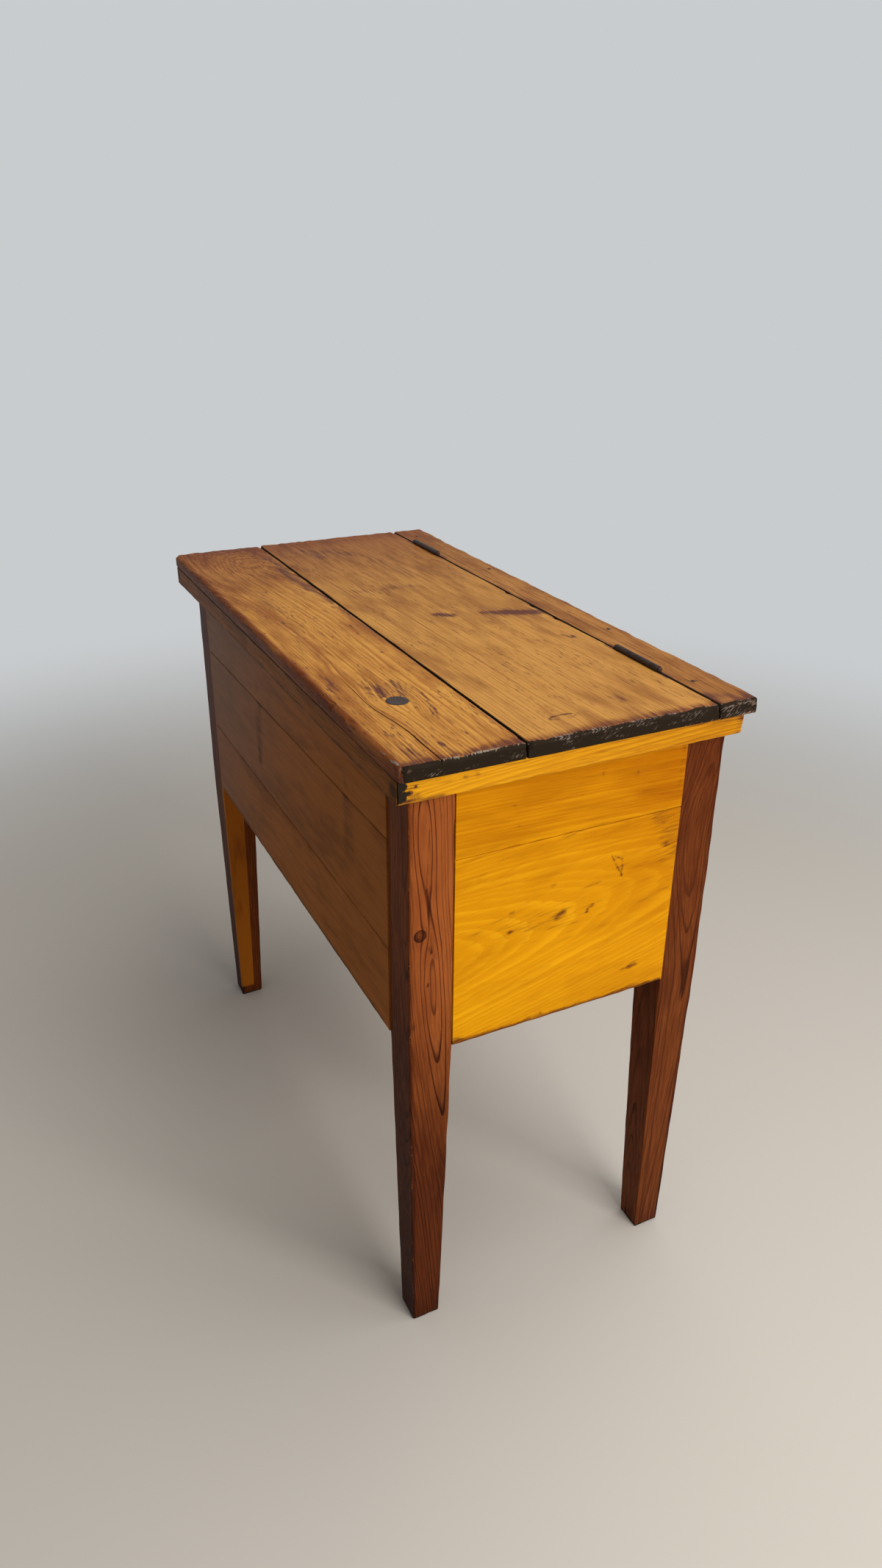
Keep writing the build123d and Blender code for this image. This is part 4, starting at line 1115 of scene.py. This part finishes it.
def leg(node, name, side, face, pith=(0, 0), lean=(0.0, 0.0), knots=(), marks=(), bare=None, dark=(0.3, 0.7),
        seed=0, faces=(), course=()):
    """A leg in a CAD node's place. side is -1 left or +1 right, and face -1 front or +1 back.

    In the leg's own terms u runs in from its outer end face and v from its outer front or back face.
    dark is how dark it is at the boards and at the floor, painted shade laid as varnish, bare is how much
    of the inner face's width was never stained, faces are knots, and course is the way of a crooked pith.
    """
    low, high = corners(node)
    own = np.array([5.0, 7.25, 7.35, 16.65, 16.75, 28.0, 30.0, 43.0])  # close to the grooves' sides
    columns = high[0] - own if side > 0 else low[0] + own
    levels = high[1] - own if face > 0 else low[1] + own
    stations = [KNEE - 0.05, KNEE + 0.05] + [one[0][0] + d for one in faces for d in range(-9, 10)]
    levels = np.concatenate([levels] + [one[0][1] + np.arange(-8, 9) for one in faces])
    post = board_grid(low, high, (2, 0, 1), 3.0, edge=2.0, stations=stations, columns=columns, levels=levels,
                      rings=6)
    z = post[..., 2]
    radius = 1.7 + 0.9 * ripple(post, (60, 60, 70), seed) + 1.0 * (1 - ramp(z, 0, 60))
    shape = ease(post, low, high, np.clip(radius, 0.6, 4.5))
    u = high[0] - shape[..., 0] if side > 0 else shape[..., 0] - low[0]
    v = high[1] - shape[..., 1] if face > 0 else shape[..., 1] - low[1]
    # painted shade, laid as varnish: the leg darkens towards the floor and over its outer front or back face,
    # and it is darker just below its top as well
    varnish = dark[0] + (dark[1] - dark[0]) * ramp(-z, -560, -180)
    varnish = varnish + 0.5 * hump(v, 0, 3) + 0.3 * hump(z, 722, 14)
    orange = (u > 40) * (1 - ramp(v, bare - 1, bare + 1)) * ramp(z, 8, 26) if bare else 0.0
    outer_corner = hump(u, 0, 3) * hump(v, 0, 3)
    # the grooves: points between their sides sink to their floor
    sunk = [(z > KNEE) & (one > GROOVE[0]) & (one < GROOVE[1]) for one in (v, u)]
    u, v = [np.where(between, np.minimum(one, GROOVE_FLOOR), one) for between, one in zip(sunk, (u, v))]
    # the taper: each point keeps its share of a width that shrinks
    share = np.clip(z / KNEE, 0, 1)
    u, v = [(SET_IN + one * FOOT / POST) * (1 - share) + one * share for one in (u, v)]
    dents = 0.35 * np.clip(ripple(post, (22, 22, 26), seed + 1) - 0.9, 0, 1)
    shape[..., 0] = high[0] - u - dents if side > 0 else low[0] + u + dents
    shape[..., 1] = high[1] - v if face > 0 else low[1] + v
    on_face = sum([knot_face(post, (2, 1), *one) for one in faces], smears(post, (2, 1), marks, seed + 5))
    # the lowest 70 mm is stained, and painted shade deepens down the outer front or back face towards the
    # floor
    foot_stain_and_shade = 0.4 * (1 - ramp(z, 5, 70)) + (0.25 + 0.5 * (1 - ramp(z, 20, 450))) * (v < 7)
    stain = on_face * (u < 7) + foot_stain_and_shade
    soot = 0.85 * (1 - ramp(z, 0, 7)) + 0.25 * hump(z, 724, 3)
    rub = np.maximum(0.35 * outer_corner * (0.6 + 0.6 * ripple(post, (50, 50, 60), seed + 3)), orange)
    trunk = in_trunk(post, (2, 1, 0), (low + high) / 2, pith, lean, knots, course)
    make_piece(name, node, shape, leg_fir, trunk, aged(post, stain, soot, rub, varnish))


print("a leg narrows from", POST, "to", FOOT, "mm over", KNEE, "mm")

# %% [markdown]
# The right front leg's pith runs a few millimetres under its face, now nearer and now deeper: where it
# comes near, the rings close into a loop. So its course is a table of heights and depths.

# %% Legs
OUTER_FACE = 366  # the right legs' outer faces, from the middle
depths = [(724, -158, 12), (690, -157, 9), (660, -156.5, 5.5), (640, -156, 5), (615, -155, 6.5),
          (590, -154, 9), (560, -152, 10), (530, -150, 7), (500, -149, 4), (470, -147.5, 3.5),
          (440, -145.5, 5), (410, -143, 7), (388, -141, 9), (340, -136.5, 12.5), (280, -130, 16.5),
          (200, -121, 21), (0, -99, 28)]
leg("leg_front_right", "right_front_leg", 1, -1, seed=400, dark=(0.1, 0.95),
    course=[(z, y, OUTER_FACE - depth) for z, y, depth in depths],
    faces=[((542, -161), (6.5, 6))], knots=((542, -161, 18, 8, 0.9), (481, -153, 12, 4, 0.6)),
    marks=[(480, -153, 483, -152.5, 1.6, 0.9), (434, -169, 436, -166, 4, 0.4),
           (655, -152, 592, -154, 0.8, 0.5), (592, -154, 548, -150, 0.9, 0.8),
           (548, -150, 518, -149, 0.9, 0.6), (525, -152, 512, -144, 3, 0.4), (0, -95, 230, -122, 30, 0.5)])
leg("leg_back_right", "right_back_leg", 1, 1, seed=420, dark=(0.72, 0.7),
    course=[(724, 180, 342), (650, 172, 348), (610, 162, 353), (560, 158, 352), (480, 166, 346),
            (400, 173, 342), (300, 168, 340), (150, 160, 338), (0, 150, 336)])
leg("leg_front_left", "left_front_leg", -1, -1, pith=(30, 26), lean=(0.0, 0.02), seed=440, bare=29,
    dark=(0.5, 0.7))
leg("leg_back_left", "left_back_leg", -1, 1, pith=(34, -36), lean=(0.01, -0.02), seed=460, dark=(0.5, 0.7))

# %% [markdown]
# ## The plug
#
# A knot fell out of the front plank, and someone bored the place clean and glued in a plug of a darker
# wood, whose face has worn to a shallow dish. A shape with round symmetry is a profile carried round
# an axis: the angle is one parameter and the place on the profile the other. The profile starts
# and ends on the axis.

# %% Plug
PLUG_FACE = 740.3


def turned(profile, centre, segments=64):
    """A profile of (radius, height) pairs, in mm, carried round an upright axis through a centre."""
    radius, height = np.array(profile, float).T[..., None]
    angle = np.linspace(0, 2 * np.pi, segments, endpoint=False)
    return np.stack([radius * np.cos(angle), radius * np.sin(angle), height + 0 * angle], -1) + centre


# fine, dark, even walnut under wax: nearly black, with a soft shine
plug_wood = wood("plug, dark walnut waxed", "#463a36", "#2b2220", "#332a28", 1.6, line=0.5, fibre=0.5,
                 rough=0.34, blotch=0.3)
dish = [(0, -0.75), (3, -0.72), (6, -0.62), (9, -0.46), (10.6, -0.4), (11.2, -0.62), (11.45, -1.2),
        (PLUG_RADIUS, -4), (PLUG_RADIUS, -9), (8, -9), (4, -9), (0, -9)]
plug = turned(dish, (*PLUG, PLUG_FACE))
trunk = in_trunk(plug, XYZ, (*PLUG, 735), pith=(40, 6))
make_piece("plug", "lid_plug", plug, plug_wood, trunk, aged(plug))

# %% [markdown]
# ## Floor and light
#
# A plain pale floor takes the shadow, and further off it turns, for rays that are seen, into the same
# even tone as the world behind it, so no edge or horizon shows. Rays that only bring light to the box
# don't see that tone.

# %% Floor
BACKDROP = "#c9ccce"
PAPER = "#c6c1ba"
FADE = (0.9, 2.4)  # metres from the middle where the floor's fading starts and ends
REACH_OUT = 9  # metres


def is_seen(tree):
    """1 for a ray from the camera, from a gloss or through glass, and 0 for one that lights a matt face."""
    path = add(tree, "LightPath").node
    seen = path.outputs["Is Camera Ray"]
    for other in ("Is Glossy Ray", "Is Transmission Ray"):
        seen = add(tree, "Math", [seen, path.outputs[other]], operation="MAXIMUM")
    return seen


floor_material, tree = blank_material("studio floor, matt pale paper")
place = add(tree, "TexCoord", out="Object")
away = add(tree, "VectorMath", [place], out="Value", operation="LENGTH")
far = add(tree, "MapRange", [away, *FADE], **SMOOTH)
far = add(tree, "Math", [far, is_seen(tree)], operation="MULTIPLY")
paper = add(tree, "BsdfDiffuse", {"Color": PAPER})
plain = add(tree, "Emission", {"Color": BACKDROP, "Strength": 1.0})
add(tree, "OutputMaterial", [add(tree, "MixShader", [far, paper, plain])])
floor_mesh = bpy.data.meshes.new("floor")
square = [(side * REACH_OUT, end * REACH_OUT, 0) for side, end in ((-1, -1), (1, -1), (1, 1), (-1, 1))]
floor_mesh.from_pydata(square, [], [(0, 1, 2, 3)])
floor_mesh.materials.append(floor_material)
floor = new_object("floor", floor_mesh)
print("floor", 2 * REACH_OUT, "m square, all backdrop from", FADE[1], "m out")

# %% [markdown]
# One large soft lamp stands to the right, as a window would, a second one hangs over the lid, and the
# world fills the shade.

# %% World and lamps
BOX_MIDDLE = Vector((0, 0, 0.6))  # where both lamps look, in metres

world = bpy.data.worlds.new("studio")
bpy.context.scene.world = world
world.use_nodes = True
tree = world.node_tree
tree.nodes.clear()
fill = add(tree, "Background", {"Color": (1.0, 0.98, 0.96, 1.0), "Strength": 0.3})
shown = add(tree, "Background", {"Color": BACKDROP, "Strength": 1.0})
add(tree, "OutputWorld", [add(tree, "MixShader", [is_seen(tree), fill, shown])])


def soft_lamp(name, place, size, watts, tint):
    """A square lamp at a place, in metres, that faces the middle of the box."""
    light = bpy.data.lights.new(name, "AREA")
    light.size, light.energy, light.color = size, watts, tint
    lamp = new_object(name, light)
    facing = (BOX_MIDDLE - Vector(place)).to_track_quat("-Z", "Y")
    lamp.matrix_world = Matrix.Translation(place) @ facing.to_matrix().to_4x4()
    print(name, "lamp,", size, "m,", watts, "W")


soft_lamp("window", (2.1, 0.5, 1.4), 1.3, 41, (1.0, 0.97, 0.92))
soft_lamp("overhead", (0.3, 0.7, 2.6), 1.6, 29, (1.0, 0.98, 0.95))
bpy.context.scene.view_settings.view_transform = "Standard"

# %% [markdown]
# ## The pieces that stay
#
# The hinges, nails, floor and battens keep their CAD shape and only get their finish. Wrought iron goes
# brown with age: a dark oxide skin with rust in patches about 6 mm across, pitted all over. Where
# it has rusted it is no metal any more, so the same patches turn metal off and roughness up.

# %% Old iron
RUST = {"Scale": 160.0, "Detail": 5.0, "Roughness": 0.65}  # waves of 6 mm
PITS = {"Scale": 900.0, "Detail": 2.0}  # waves of 1 mm


def old_iron(name, dark, rust, rough):
    """Iron whose colour, metal and roughness go from its dark skin to its rust by one noise."""
    material, tree = blank_material(name)
    place = add(tree, "TexCoord", out="Object")
    patch = add(tree, "TexNoise", {"Vector": place, **RUST})
    pits = add(tree, "TexNoise", {"Vector": place, **PITS})
    amount = add(tree, "MapRange", [patch, 0.42, 0.68])
    body = add(tree, "Mix", {0: amount, 6: dark, 7: rust}, **LAID)
    metal = add(tree, "MapRange", {0: amount, 3: 0.85, 4: 0.1})
    gloss = add(tree, "MapRange", {0: amount, 3: rough, 4: rough + 0.35})
    height = add(tree, "Math", [pits, 0.5, patch], operation="MULTIPLY_ADD")
    facing = add(tree, "Bump", {"Height": height, "Strength": 0.6, "Distance": 0.0004})
    shader = add(tree, "BsdfPrincipled",
                 {"Base Color": body, "Metallic": metal, "Roughness": gloss, "Normal": facing})
    add(tree, "OutputMaterial", [shader])
    return material


# forged hinges: brown-black and worn smooth; cut nails: rustier; screws: newer, grey and brighter
hinge_iron = old_iron("hinge iron, browned by age", "#33261f", "#3a2016", 0.42)
nail_iron = old_iron("cut nail iron, rusted", "#2a1d16", "#43230f", 0.5)
screw_steel = old_iron("screw steel, dulled", "#55504a", "#3a261b", 0.35)
print("irons", hinge_iron.name, "|", nail_iron.name, "|", screw_steel.name)

# %% [markdown]
# Each CAD piece's row in the record names its slot, and the slot says which finish it gets.

# %% Finishes for the CAD pieces
by_slot = {"hinge_iron": hinge_iron, "cut_nail_iron": nail_iron, "hinge_screw_steel": screw_steel}
for part in frame["record"]["subparts"]:
    material = by_slot.get(part["material_slot"], inner_pine)
    for slot in frame["nodes"][part["node"]].material_slots:
        slot.material = material
